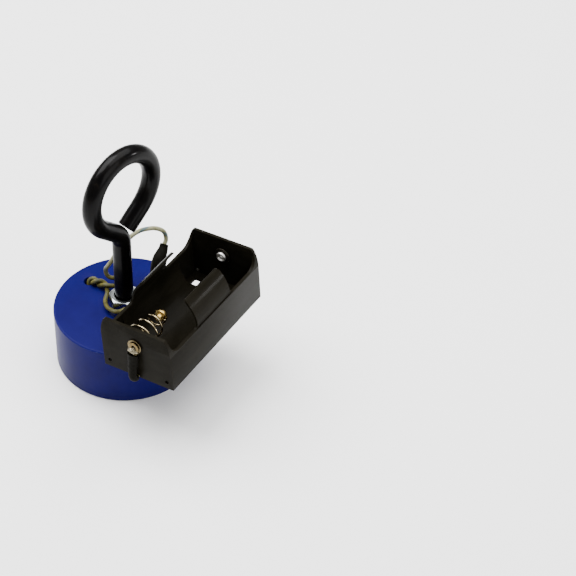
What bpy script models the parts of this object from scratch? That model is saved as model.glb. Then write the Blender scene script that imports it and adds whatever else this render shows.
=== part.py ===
"""Battery electromagnet with a lifting eye, standing on its pole face.

A steel pot magnet with a coil in its groove, a bent eyebolt with a lock nut, and a moulded
holder for one D cell that lies tilted on the magnet and is wired to the coil by two leads.
Metres, +Z up. The origin is the centre of the pole face, and +Y runs along the holder, from
its spring end to its rivet end.
"""

import math

import bmesh
import bpy
import numpy as np
from mathutils import Matrix, Vector

# Clearance between pieces that touch
GAP = 0.0003

# Magnet body
MAGNET_DIAMETER = 0.067
MAGNET_HEIGHT = 0.0305
MAGNET_EDGE = 0.0008
TOP_PLATE = 0.008
CORE_DIAMETER = 0.030
POT_WALL = 0.0055
LEAD_HOLE_DIAMETER = 0.0056
LEAD_HOLE_EDGE = 0.0005
LEAD_HOLE_INSET = 0.0014
LEAD_HOLE_BEARING = math.radians(168.9)
MAGNET_STEPS = 64

# Coil on its bobbin, and the ring of resin that closes the groove
BOBBIN_PLAY = 0.0004
BOBBIN_TUBE = 0.001
BOBBIN_FLANGE = 0.0012
WINDING_INSET = 0.0011
SEAL_THICKNESS = 0.0022
FLANGE_HOLE_DIAMETER = 0.0056

# Eyebolt, bent from one rod, and its lock nut
ROD_DIAMETER = 0.008
COATED_DIAMETER = 0.0087
SCREWED_LENGTH = 0.018
TAP_HOLE_SPARE = 0.002
TAP_HOLE_CHAMFER = 0.0006
EYE_RADIUS = 0.0189
EYE_HEIGHT = 0.0674
EYE_OFFSET = 0.0020
EYE_BEARING = math.radians(80.2)
EYE_START = math.radians(43)
EYE_END = math.radians(315)
EYE_TAIL = 0.0136
EYE_DRIFT = -0.0010
NECK_RADIUS = 0.0065
NUT_FLATS = 0.013
NUT_THICKNESS = 0.0065
NUT_CHAMFER = math.radians(30)
NUT_BEARING = math.radians(21)

# Battery holder, in its own frame: X across, Y along, Z up from its base
HOLDER_WIDTH = 0.0375
HOLDER_LENGTH = 0.0734
HOLDER_X = 0.0150
HOLDER_Y = -0.0370
HOLDER_TILT = math.radians(4)
SIDE_WALL = 0.0015
END_WALL = 0.0016
CRADLE_UNDERSIDE = 0.00025
RIM_RISE = 0.0005
END_WALL_RISE = 0.0094
END_WALL_CORNER = 0.0015
MOULD_EDGE = 0.0005
GUSSET_RADIUS = 0.0065
FLOOR_RECESS = 0.0012
FLOOR_THICKNESS = 0.0012
CRADLE_START = 0.0144
CRADLE_RIB = 0.0015
POCKET_END = math.radians(-82)
LIP_THICKNESS = 0.00095
LIP_ROOT = math.radians(-12)
LIP_REACH = math.radians(50)
LIP_LENGTH = 0.0264
LIP_FLARE = 0.0024
LIP_CORNER = 0.0022
SLOT_WIDTH = 0.0035
SLOT_LENGTH = 0.0043
SLOT_SIDE_INSET = 0.0047
SLOT_END_INSET = 0.0061
PIN_HOLE_DIAMETER = 0.002
PIN_HOLE_INSET = 0.0032
PIN_HOLE_HEIGHT = 0.0038
SIDE_NOTCH_WIDTH = 0.012
SIDE_NOTCH_HEIGHT = 0.0026
SIDE_NOTCH_Y = 0.031
RIB_NOTCH_WIDTH = 0.005
RIB_NOTCH_HEIGHT = 0.0013
RIB_NOTCH_X = 0.013
END_NOTCH_WIDTH = 0.0035
END_NOTCH_HEIGHT = 0.0014
LUG_SHIFT = 0.00135

# Contacts
SPRING_WIRE = 0.0009
SPRING_BASE_RADIUS = 0.0072
SPRING_TIP_RADIUS = 0.0029
SPRING_LENGTH = 0.0172
SPRING_LOOP_TURNS = 0.8
SPRING_SPIRAL_TURNS = 0.7
SPRING_CONE_TURNS = 3.75
SPRING_TIP_RISE = 0.0018
SPRING_POINTS_PER_TURN = 14
BUTTON_RADIUS = 0.0032
BUTTON_RIM = 0.0010
BUTTON_DOME = 0.0024
BUTTON_STEM = 0.0020
BUTTON_STEM_PLAY = 0.00045
EYELET_BARREL_RADIUS = 0.0016
EYELET_BORE_RADIUS = 0.0011
EYELET_FLANGE_RADIUS = 0.0026
EYELET_FLANGE = 0.0004
RIVET_SHANK_RADIUS = 0.0015
RIVET_HEAD_RADIUS = 0.0025
RIVET_HEAD = 0.0012
RIVET_RIM = 0.0005
RIVET_CLENCH_RADIUS = 0.0022
RIVET_CLENCH = 0.0006
RIVET_CLENCH_RIM = 0.0002
WASHER_RADIUS = 0.0040
WASHER_THICKNESS = 0.0006
LUG_RING_RADIUS = 0.0036
LUG_THICKNESS = 0.0005
LUG_TAIL_WIDTH = 0.0036
LUG_JOG = 0.00115
LUG_JOG_DROP = 0.00234
LUG_JOG_HEIGHT = 0.00126
LUG_TAIL_LEAN = 0.00014
LUG_TAIL_LENGTH = 0.0038
SOLDER_WIDTH = 0.0029
SOLDER_DEPTH = 0.0018
SOLDER_HEIGHT = 0.0021

# Sleeves and leads
LEAD_DIAMETER = 0.0021
TWIST_RADIUS = 0.00138
TWIST_TURNS = 1.25
SLEEVE_WALL = 0.0005
SLEEVE_MOUTH_WIDTH = 0.0058
SLEEVE_MOUTH_DEPTH = 0.0027
SLEEVE_BEND = 0.0024
SLEEVE_SIDES = 20
SLEEVE_RING_SPACING = 0.0027
SLEEVE_TAPER = 1.3
SPLICE_MOUTH_DIAMETER = 0.0040
SPLICE_MIDDLE_DIAMETER = 0.0061
SPLICE_END_DIAMETER = 0.0044
SPLICE_SKEW = 0.85
SPLICE_PLAY = 0.0004
LEAD_POINT_SPACING = 0.0023
ROUTE_SAMPLES = 24

# Routes of the leads in millimetres, chosen by hand: the twisted pair's from the middle of the
# lead hole's mouth, the others in the part's frame, those under the holder in the holder's frame
PAIR_ROUTE = [(0, 0, 0.4), (0.8, -0.3, 2.1), (2.4, -1.0, 2.9), (4.5, -0.6, 2.9), (6.7, -0.3, 2.9),
              (9.3, -0.7, 2.9), (12.0, -1.4, 2.9)]
FRONT_ROUTE = [(-10.6, 0.2, 32.0), (-9.9, -2.0, 31.9), (-8.5, -4.4, 32.0), (-6.4, -6.8, 32.1),
               (-3.5, -8.5, 32.6), (1.0, -9.1, 33.7), (4.3, -8.9, 35.6), (6.9, -7.5, 37.3),
               (9.3, -6.3, 36.9), (11.2, -6.0, 34.9), (12.6, -6.8, 32.8)]
FRONT_UNDER = [(0.2, 28.4, 1.1), (3.2, 26.4, 1.1), (5.4, 23.6, 1.1), (8.0, 20.6, 0.7),
               (10.6, 18.0, 0.4), (12.6, 15.2, -0.1), (15.2, 11.6, -0.15), (16.9, 8.0, -0.15)]
ARCH_ROUTE = [(-8.6, 8.6, 32.8), (-6.3, 10.4, 33.0), (-5.4, 13.0, 33.9), (-7.5, 14.1, 35.3),
              (-10.0, 12.2, 35.9), (-12.5, 9.0, 35.6), (-14.6, 7.8, 35.3), (-16.3, 7.9, 35.9),
              (-16.6, 8.4, 38.0), (-15.3, 8.3, 40.9), (-13.5, 9.2, 44.3), (-12.3, 10.6, 47.6),
              (-10.0, 12.6, 52.0), (-7.4, 14.2, 56.6), (-5.6, 15.3, 59.3), (-4.3, 17.3, 60.5),
              (-2.6, 19.7, 61.2), (-1.0, 22.2, 60.9), (0.7, 24.7, 60.2), (2.4, 27.1, 58.5),
              (3.4, 28.8, 56.1), (4.2, 29.0, 53.8), (4.6, 28.5, 51.9)]
SPLICE_ROUTE = [(4.6, 27.0, 50.2), (5.0, 25.4, 48.7), (5.4, 23.1, 47.5), (5.8, 20.6, 46.4),
                (6.2, 18.6, 45.0), (6.8, 16.5, 43.1), (7.4, 14.7, 41.0), (8.2, 12.6, 38.6)]
LINK_ROUTE = [(9.0, 10.4, 36.2), (9.9, 7.6, 34.2), (11.0, 4.2, 32.7), (12.7, 0.6, 32.0)]
LINK_UNDER = [(0.2, 34.6, 1.1), (3.2, 35.2, 1.1), (5.0, 38.0, 1.1), (5.4, 42.0, 1.2),
              (6.2, 46.6, 1.0), (8.2, 51.4, 0.7), (10.6, 55.4, 0.4), (12.6, 58.2, -0.1),
              (15.2, 61.8, -0.15), (16.9, 65.4, -0.15)]

# Worked out from the sizes above
LEAD_RADIUS = LEAD_DIAMETER / 2
POT_RADIUS = MAGNET_DIAMETER / 2
CORE_RADIUS = CORE_DIAMETER / 2
GROOVE_RADIUS = POT_RADIUS - POT_WALL
GROOVE_DEPTH = MAGNET_HEIGHT - TOP_PLATE
BOBBIN_BOTTOM = GAP + SEAL_THICKNESS + BOBBIN_PLAY
BOBBIN_TOP = GROOVE_DEPTH - BOBBIN_PLAY
BOBBIN_INNER = CORE_RADIUS + BOBBIN_PLAY
BOBBIN_OUTER = GROOVE_RADIUS - BOBBIN_PLAY
WINDING_TOP = BOBBIN_TOP - BOBBIN_FLANGE - GAP
ROD_RADIUS = ROD_DIAMETER / 2
COATED_RADIUS = COATED_DIAMETER / 2
LEAD_HOLE_DISTANCE = GROOVE_RADIUS - LEAD_HOLE_DIAMETER / 2 - LEAD_HOLE_INSET
LEAD_HOLE_CENTRE = Vector((LEAD_HOLE_DISTANCE * math.cos(LEAD_HOLE_BEARING),
                           LEAD_HOLE_DISTANCE * math.sin(LEAD_HOLE_BEARING), 0))
CELL_X = HOLDER_WIDTH / 2
CELL_Z = HOLDER_WIDTH / 2 + CRADLE_UNDERSIDE
CAVITY_RADIUS = HOLDER_WIDTH / 2 - SIDE_WALL
RIM_Z = CELL_Z + RIM_RISE
END_TOP_Z = CELL_Z + END_WALL_RISE
FLOOR_Z = FLOOR_RECESS + FLOOR_THICKNESS
LUG_X = CELL_X - LUG_SHIFT


def clear_scene():
    """Empty the file, so the script can be run again."""
    for obj in list(bpy.data.objects):
        bpy.data.objects.remove(obj, do_unlink=True)


def collection(name):
    """Collection linked to the scene."""
    made = bpy.data.collections.get(name) or bpy.data.collections.new(name)
    if made.name not in bpy.context.scene.collection.children:
        bpy.context.scene.collection.children.link(made)
    return made


def principled(name, colour, roughness, metallic=0.0):
    """Plain Principled material."""
    mat = bpy.data.materials.new(name)
    mat.use_nodes = True
    shader = mat.node_tree.nodes["Principled BSDF"]
    shader.inputs["Base Color"].default_value = (*colour, 1)
    shader.inputs["Roughness"].default_value = roughness
    shader.inputs["Metallic"].default_value = metallic
    mat.diffuse_color = (*colour, 1)
    return mat


def place(name, data):
    """New object in the cutters collection; finish() moves the parts out of it."""
    obj = bpy.data.objects.new(name, data)
    collection("cutters").objects.link(obj)
    obj.hide_render = True
    obj.display_type = "WIRE"
    return obj


def bake(obj):
    """Turn an object's curve or modifiers into a plain welded mesh."""
    bpy.context.view_layer.update()
    evaluated = obj.evaluated_get(bpy.context.evaluated_depsgraph_get())
    mesh = bpy.data.meshes.new_from_object(evaluated)
    cage = bmesh.new()
    cage.from_mesh(mesh)
    bmesh.ops.remove_doubles(cage, verts=cage.verts, dist=1e-7)
    cage.to_mesh(mesh)
    cage.free()
    if obj.type == "MESH":
        obj.modifiers.clear()
        obj.data = mesh
        return obj
    solid = place(obj.name + "_solid", mesh)
    solid.matrix_world = obj.matrix_world
    name = obj.name
    bpy.data.objects.remove(obj, do_unlink=True)
    solid.name = name
    return solid


def finish(obj, mat, parent=None, smooth=35):
    """Make a baked solid a part: its material, its smooth faces and its carrier."""
    bake(obj)
    obj.data.shade_smooth()
    obj.data.set_sharp_from_angle(angle=math.radians(smooth))
    obj.data.materials.clear()
    obj.data.materials.append(mat)
    collection("cutters").objects.unlink(obj)
    collection("electromagnet").objects.link(obj)
    obj.hide_render = False
    obj.display_type = "TEXTURED"
    obj.parent = parent
    return obj


def combine(target, tool, operation):
    """Exact Boolean of a tool object on a target, applied at once."""
    boolean = target.modifiers.new(operation.lower(), "BOOLEAN")
    boolean.operation = operation
    boolean.solver = "EXACT"
    boolean.object = tool
    return bake(target)


def arc(centre, radius, start, end, steps):
    """Points on an arc in a plane, from one angle to another."""
    angles = [start + (end - start) * i / steps for i in range(steps + 1)]
    return [(centre[0] + radius * math.cos(a), centre[1] + radius * math.sin(a)) for a in angles]


def turned(name, profile, steps=32, closed=False):
    """Solid turned about Z from (radius, height) points that run down its outer side."""
    count = len(profile)
    edges = [(i, (i + 1) % count) for i in range(count if closed else count - 1)]
    mesh = bpy.data.meshes.new(name)
    mesh.from_pydata([(radius, 0, height) for radius, height in profile], edges, [])
    obj = place(name, mesh)
    screw = obj.modifiers.new("turn", "SCREW")
    screw.steps = screw.render_steps = steps
    screw.use_merge_vertices = True
    screw.merge_threshold = 1e-6
    return bake(obj)


def prism(name, outlines, depth, plane="XY"):
    """Flat outlines swept a depth both ways from their plane, as one welded solid each."""
    curve = bpy.data.curves.new(name, "CURVE")
    curve.dimensions = "2D"
    curve.fill_mode = "BOTH"
    curve.extrude = depth / 2
    for outline in outlines:
        spline = curve.splines.new("POLY")
        spline.points.add(len(outline) - 1)
        for point, (across, up) in zip(spline.points, outline):
            point.co = (across, up, 0, 1)
        spline.use_cyclic_u = True
    obj = bake(place(name, curve))
    turns = {"XY": Matrix.Identity(4), "XZ": Matrix.Rotation(math.pi / 2, 4, "X"),
             "YZ": Matrix(((0, 0, 1, 0), (1, 0, 0, 0), (0, 1, 0, 0), (0, 0, 0, 1)))}
    obj.data.transform(turns[plane])
    return obj


def shift(obj, x=0.0, y=0.0, z=0.0):
    """Move a solid in its mesh."""
    obj.data.transform(Matrix.Translation((x, y, z)))
    return obj


def block(name, low, high):
    """Box between two corners."""
    cage = bmesh.new()
    bmesh.ops.create_cube(cage, size=1)
    mesh = bpy.data.meshes.new(name)
    cage.to_mesh(mesh)
    cage.free()
    low, high = Vector(low), Vector(high)
    mesh.transform(Matrix.Translation((low + high) / 2) @ Matrix.Diagonal((*(high - low), 1)))
    return place(name, mesh)


def wire(name, points, radius, resolution=2):
    """Round wire along points, with flat closed ends; the radius may be a list, one per point."""
    radii = np.broadcast_to(radius, len(points))
    curve = bpy.data.curves.new(name, "CURVE")
    curve.dimensions = "3D"
    curve.bevel_depth = radii[0]
    curve.bevel_resolution = resolution
    curve.use_fill_caps = True
    spline = curve.splines.new("POLY")
    spline.points.add(len(points) - 1)
    for point, place_at, size in zip(spline.points, points, radii / radii[0]):
        point.co = (*place_at, 1)
        point.radius = size
    return bake(place(name, curve))


def along_y(obj, y, outward, x=CELL_X, z=CELL_Z):
    """Lay a turned solid along Y through (x, z): its +Z end towards -Y if outward is -1."""
    turn = Matrix.Rotation(-outward * math.pi / 2, 4, "X")
    obj.data.transform(Matrix.Translation((x, y, z)) @ turn)
    return obj


def through_y(name, radius, y_low, y_high, x, z, steps=20):
    """Round cutter along Y."""
    length = y_high - y_low
    drill = turned(name, [(0, length), (radius, length), (radius, 0), (0, 0)], steps)
    return along_y(drill, y_low, 1, x, z)


def smooth_route(route, spacing=LEAD_POINT_SPACING):
    """Evenly spaced points on a centripetal Catmull-Rom curve through a route."""
    route = np.array([tuple(point) for point in route])
    ends = np.vstack([2 * route[0] - route[1], route, 2 * route[-1] - route[-2]])
    fine = []
    for p0, p1, p2, p3 in zip(ends[:-3], ends[1:-2], ends[2:-1], ends[3:]):
        t1 = np.linalg.norm(p1 - p0) ** 0.5
        t2 = t1 + np.linalg.norm(p2 - p1) ** 0.5
        t3 = t2 + np.linalg.norm(p3 - p2) ** 0.5
        t = np.linspace(t1, t2, ROUTE_SAMPLES, endpoint=False)[:, None]
        a1 = (t1 - t) / t1 * p0 + t / t1 * p1
        a2 = (t2 - t) / (t2 - t1) * p1 + (t - t1) / (t2 - t1) * p2
        a3 = (t3 - t) / (t3 - t2) * p2 + (t - t2) / (t3 - t2) * p3
        b1 = (t2 - t) / t2 * a1 + t / t2 * a2
        b2 = (t3 - t) / (t3 - t1) * a2 + (t - t1) / (t3 - t1) * a3
        fine.append((t2 - t) / (t2 - t1) * b1 + (t - t1) / (t2 - t1) * b2)
    fine = np.vstack(fine + [route[-1:]])
    run = np.concatenate([[0], np.cumsum(np.linalg.norm(np.diff(fine, axis=0), axis=1))])
    count = max(2, int(round(run[-1] / spacing)) + 1)
    at = np.linspace(0, run[-1], count)
    return np.stack([np.interp(at, run, fine[:, i]) for i in range(3)], axis=1)


def magnet_pot(mat):
    """Painted steel cup and core in one turned piece, open below round the core."""
    hole_radius = ROD_RADIUS + GAP
    hole_bottom = MAGNET_HEIGHT - SCREWED_LENGTH - TAP_HOLE_SPARE
    edge = MAGNET_EDGE
    top_arc = arc((POT_RADIUS - edge, MAGNET_HEIGHT - edge), edge, math.pi / 2, 0, 4)
    low_arc = arc((POT_RADIUS - edge, edge), edge, 0, -math.pi / 2, 4)
    profile = [(0, hole_bottom), (hole_radius, hole_bottom),
               (hole_radius, MAGNET_HEIGHT - TAP_HOLE_CHAMFER),
               (hole_radius + TAP_HOLE_CHAMFER, MAGNET_HEIGHT), *top_arc, *low_arc,
               (GROOVE_RADIUS, 0), (GROOVE_RADIUS, GROOVE_DEPTH), (CORE_RADIUS, GROOVE_DEPTH),
               (CORE_RADIUS, 0), (0, 0)]
    pot = turned("magnet_pot", profile, MAGNET_STEPS)
    lead_radius = LEAD_HOLE_DIAMETER / 2
    flare = lead_radius + LEAD_HOLE_EDGE
    drill = turned("lead_hole_drill", [
        (0, MAGNET_HEIGHT + edge), (flare, MAGNET_HEIGHT + edge), (flare, MAGNET_HEIGHT),
        (lead_radius, MAGNET_HEIGHT - LEAD_HOLE_EDGE), (lead_radius, GROOVE_DEPTH - edge),
        (0, GROOVE_DEPTH - edge)], 24)
    shift(drill, *LEAD_HOLE_CENTRE)
    return finish(combine(pot, drill, "DIFFERENCE"), mat)


def coil_bobbin(mat):
    """Moulded spool on the core, with a hole in its upper flange for the leads."""
    tube_radius = BOBBIN_INNER + BOBBIN_TUBE
    profile = [(BOBBIN_INNER, BOBBIN_TOP), (BOBBIN_OUTER, BOBBIN_TOP),
               (BOBBIN_OUTER, BOBBIN_TOP - BOBBIN_FLANGE), (tube_radius, BOBBIN_TOP - BOBBIN_FLANGE),
               (tube_radius, BOBBIN_BOTTOM + BOBBIN_FLANGE), (BOBBIN_OUTER, BOBBIN_BOTTOM + BOBBIN_FLANGE),
               (BOBBIN_OUTER, BOBBIN_BOTTOM), (BOBBIN_INNER, BOBBIN_BOTTOM)]
    bobbin = turned("coil_bobbin", profile, 40, closed=True)
    radius = FLANGE_HOLE_DIAMETER / 2
    drill = turned("flange_hole_drill", [
        (0, BOBBIN_TOP + MOULD_EDGE), (radius, BOBBIN_TOP + MOULD_EDGE), (radius, WINDING_TOP),
        (0, WINDING_TOP)], 16)
    shift(drill, *LEAD_HOLE_CENTRE)
    return finish(combine(bobbin, drill, "DIFFERENCE"), mat)


def coil_winding(mat):
    """Enamelled wire, wound as one ring between the flanges."""
    inner = BOBBIN_INNER + BOBBIN_TUBE + GAP
    outer = BOBBIN_OUTER - WINDING_INSET
    bottom = BOBBIN_BOTTOM + BOBBIN_FLANGE + GAP
    soft = WINDING_INSET / 2
    profile = [(inner, WINDING_TOP), (outer - soft, WINDING_TOP), (outer, WINDING_TOP - soft),
               (outer, bottom + soft), (outer - soft, bottom), (inner, bottom)]
    return finish(turned("coil_winding", profile, 40, closed=True), mat)


def pole_seal(mat):
    """Ring of resin that closes the groove, just short of the pole face."""
    inner = CORE_RADIUS + GAP
    outer = GROOVE_RADIUS - GAP
    profile = [(inner, GAP + SEAL_THICKNESS), (outer, GAP + SEAL_THICKNESS), (outer, GAP), (inner, GAP)]
    return finish(turned("pole_seal", profile, 40, closed=True), mat)


def eyebolt_points():
    """Centreline: screwed end, shank, neck bend, slope to the eye, the eye, straight tail.

    The eye drifts sideways out of its plane, more and more towards the tail's end.
    """
    def on_eye(angle):
        return np.array([EYE_OFFSET - EYE_RADIUS * math.sin(angle),
                         EYE_HEIGHT - EYE_RADIUS * math.cos(angle)])

    joint = on_eye(EYE_START)
    slope = np.array([-math.cos(EYE_START), math.sin(EYE_START)])
    corner = joint + slope * (joint[0] / math.cos(EYE_START))
    bend = math.pi / 2 - EYE_START
    neck_length = NECK_RADIUS * math.tan(bend / 2)
    plane = [(0, -SCREWED_LENGTH), (0, NUT_THICKNESS + 2 * GAP), (0, NUT_THICKNESS + 3 * GAP)]
    plane += arc((-NECK_RADIUS, corner[1] - neck_length), NECK_RADIUS, 0, bend, 6)
    straight = len(plane)
    eye_steps = 34
    for i in range(eye_steps + 1):
        plane.append(tuple(on_eye(EYE_START + (EYE_END - EYE_START) * i / eye_steps)))
    end_way = np.array([-math.cos(EYE_END), math.sin(EYE_END)])
    plane.append(tuple(on_eye(EYE_END) + end_way * EYE_TAIL))
    along = (math.cos(EYE_BEARING), math.sin(EYE_BEARING))
    points = []
    for i, (s, z) in enumerate(plane):
        aside = EYE_DRIFT * (max(i + 1 - straight, 0) / (len(plane) - straight)) ** 3
        points.append((s * along[0] + aside * along[1], s * along[1] - aside * along[0], MAGNET_HEIGHT + z))
    return points


def eyebolt(mat):
    """Rod bent to an open eye, its tail end just clear of its neck; its coating starts above the nut."""
    points = eyebolt_points()
    radii = [ROD_RADIUS] * 2 + [COATED_RADIUS] * (len(points) - 2)
    return finish(wire("eyebolt", points, radii, resolution=5), mat)


def lock_nut(mat):
    """Hexagon nut with both faces chamfered, seated on the magnet."""
    corner_radius = NUT_FLATS / 2 / math.cos(math.pi / 6)
    face_radius = NUT_FLATS / 2 - GAP
    reach = corner_radius + GAP
    fall = (reach - face_radius) * math.tan(NUT_CHAMFER)
    cage = bmesh.new()
    turn = Matrix.Rotation(NUT_BEARING, 4, "Z")
    bmesh.ops.create_cone(cage, cap_ends=True, segments=6, radius1=corner_radius,
                          radius2=corner_radius, depth=NUT_THICKNESS, matrix=turn)
    mesh = bpy.data.meshes.new("lock_nut")
    cage.to_mesh(mesh)
    cage.free()
    nut = place("lock_nut", mesh)
    half = NUT_THICKNESS / 2
    shape = turned("nut_chamfer", [(0, half), (face_radius, half), (reach, half - fall),
                                   (reach, fall - half), (face_radius, -half), (0, -half)], 48)
    combine(nut, shape, "INTERSECT")
    bore = ROD_RADIUS + GAP
    mouth = bore + TAP_HOLE_CHAMFER
    over = half + GAP
    drill = turned("nut_drill", [(0, over), (mouth, over), (mouth, half), (bore, half - TAP_HOLE_CHAMFER),
                                 (bore, TAP_HOLE_CHAMFER - half), (mouth, -half), (mouth, -over),
                                 (0, -over)], 28)
    combine(nut, drill, "DIFFERENCE")
    shift(nut, z=MAGNET_HEIGHT + GAP + half)
    return finish(nut, mat)


def holder_seat():
    """Empty at the holder's lower left front corner, tilted as the holder lies."""
    seat = bpy.data.objects.new("holder_seat", None)
    collection("electromagnet").objects.link(seat)
    seat.location = (HOLDER_X, HOLDER_Y, MAGNET_HEIGHT + GAP)
    seat.rotation_euler = (0, -HOLDER_TILT, 0)
    bpy.context.view_layer.update()
    return seat


def end_wall_outline():
    """Upright sides, round shoulders about the cell's axis, flat top with small corners."""
    outer = HOLDER_WIDTH / 2
    corner_z = END_TOP_Z - END_WALL_CORNER
    corner_angle = math.asin((corner_z - CELL_Z) / (outer - END_WALL_CORNER))
    corner_x = CELL_X + (outer - END_WALL_CORNER) * math.cos(corner_angle)
    right = [(HOLDER_WIDTH, 0)] + arc((CELL_X, CELL_Z), outer, 0, corner_angle, 5)
    right += arc((corner_x, corner_z), END_WALL_CORNER, corner_angle, math.pi / 2, 4)[1:]
    return right + [(HOLDER_WIDTH - x, z) for x, z in reversed(right)]


def side_opening_outline():
    """The gap between the end walls above the rim, round at its lower corners."""
    near = END_WALL
    far = HOLDER_LENGTH - END_WALL
    low = RIM_Z
    high = END_TOP_Z + GUSSET_RADIUS
    radius = GUSSET_RADIUS
    left = arc((near + radius, low + radius), radius, math.pi, 1.5 * math.pi, 7)
    right = arc((far - radius, low + radius), radius, 1.5 * math.pi, 2 * math.pi, 7)
    return [(near, high)] + left + right + [(far, high)]


def lip_section(side):
    """Section of one retaining lip: a band round the cell, from inside the wall up to its tip."""
    outer = CAVITY_RADIUS + LIP_THICKNESS
    inner = CAVITY_RADIUS - SIDE_WALL
    band = arc((0, 0), outer, LIP_ROOT, LIP_REACH, 8) + arc((0, 0), inner, LIP_REACH, LIP_ROOT, 8)
    return [(CELL_X + side * x, CELL_Z + z) for x, z in band]


def lip_outline():
    """Side view of the lips: flared feet, straight sides, round upper corners."""
    middle = HOLDER_LENGTH / 2
    half = LIP_LENGTH / 2
    top = CELL_Z + (CAVITY_RADIUS + LIP_THICKNESS) * math.sin(LIP_REACH)
    foot = arc((middle + half + LIP_FLARE, RIM_Z + LIP_FLARE), LIP_FLARE, 1.5 * math.pi, math.pi, 5)
    crown = arc((middle + half - LIP_CORNER, top - LIP_CORNER), LIP_CORNER, 0, math.pi / 2, 5)
    right = [(middle + half + LIP_FLARE, RIM_Z - SIDE_WALL * 2)] + foot + crown
    return right + [(2 * middle - y, z) for y, z in reversed(right)]


def inside_outline():
    """Section of the tub's inside: flat floor, upright walls, round above the cell's axis."""
    far = HOLDER_WIDTH - SIDE_WALL
    return [(SIDE_WALL, FLOOR_Z), (far, FLOOR_Z)] + arc((CELL_X, CELL_Z), CAVITY_RADIUS, 0, math.pi, 24)


def cradle_outline():
    """Section of the cradle that fills the tub below the cell: its round seat and a flat base."""
    left = SIDE_WALL / 2
    seat = arc((CELL_X, CELL_Z), CAVITY_RADIUS, math.pi, 2 * math.pi, 24)
    base = FLOOR_Z - FLOOR_THICKNESS / 2
    right = HOLDER_WIDTH - left
    return [(left, base), (left, CELL_Z)] + seat + [(right, CELL_Z), (right, base)]


def pocket_outline(side):
    """Space under the cradle on one side, between its round underside and the skirt."""
    outer = CAVITY_RADIUS + SIDE_WALL
    skirt = CELL_X - SIDE_WALL
    start = -math.acos(skirt / outer)
    curve = arc((0, 0), outer, start, POCKET_END, 10)
    below = -CELL_Z - MOULD_EDGE
    ring = curve + [(curve[-1][0], below), (skirt, below)]
    return [(CELL_X + side * x, CELL_Z + z) for x, z in ring]


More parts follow.
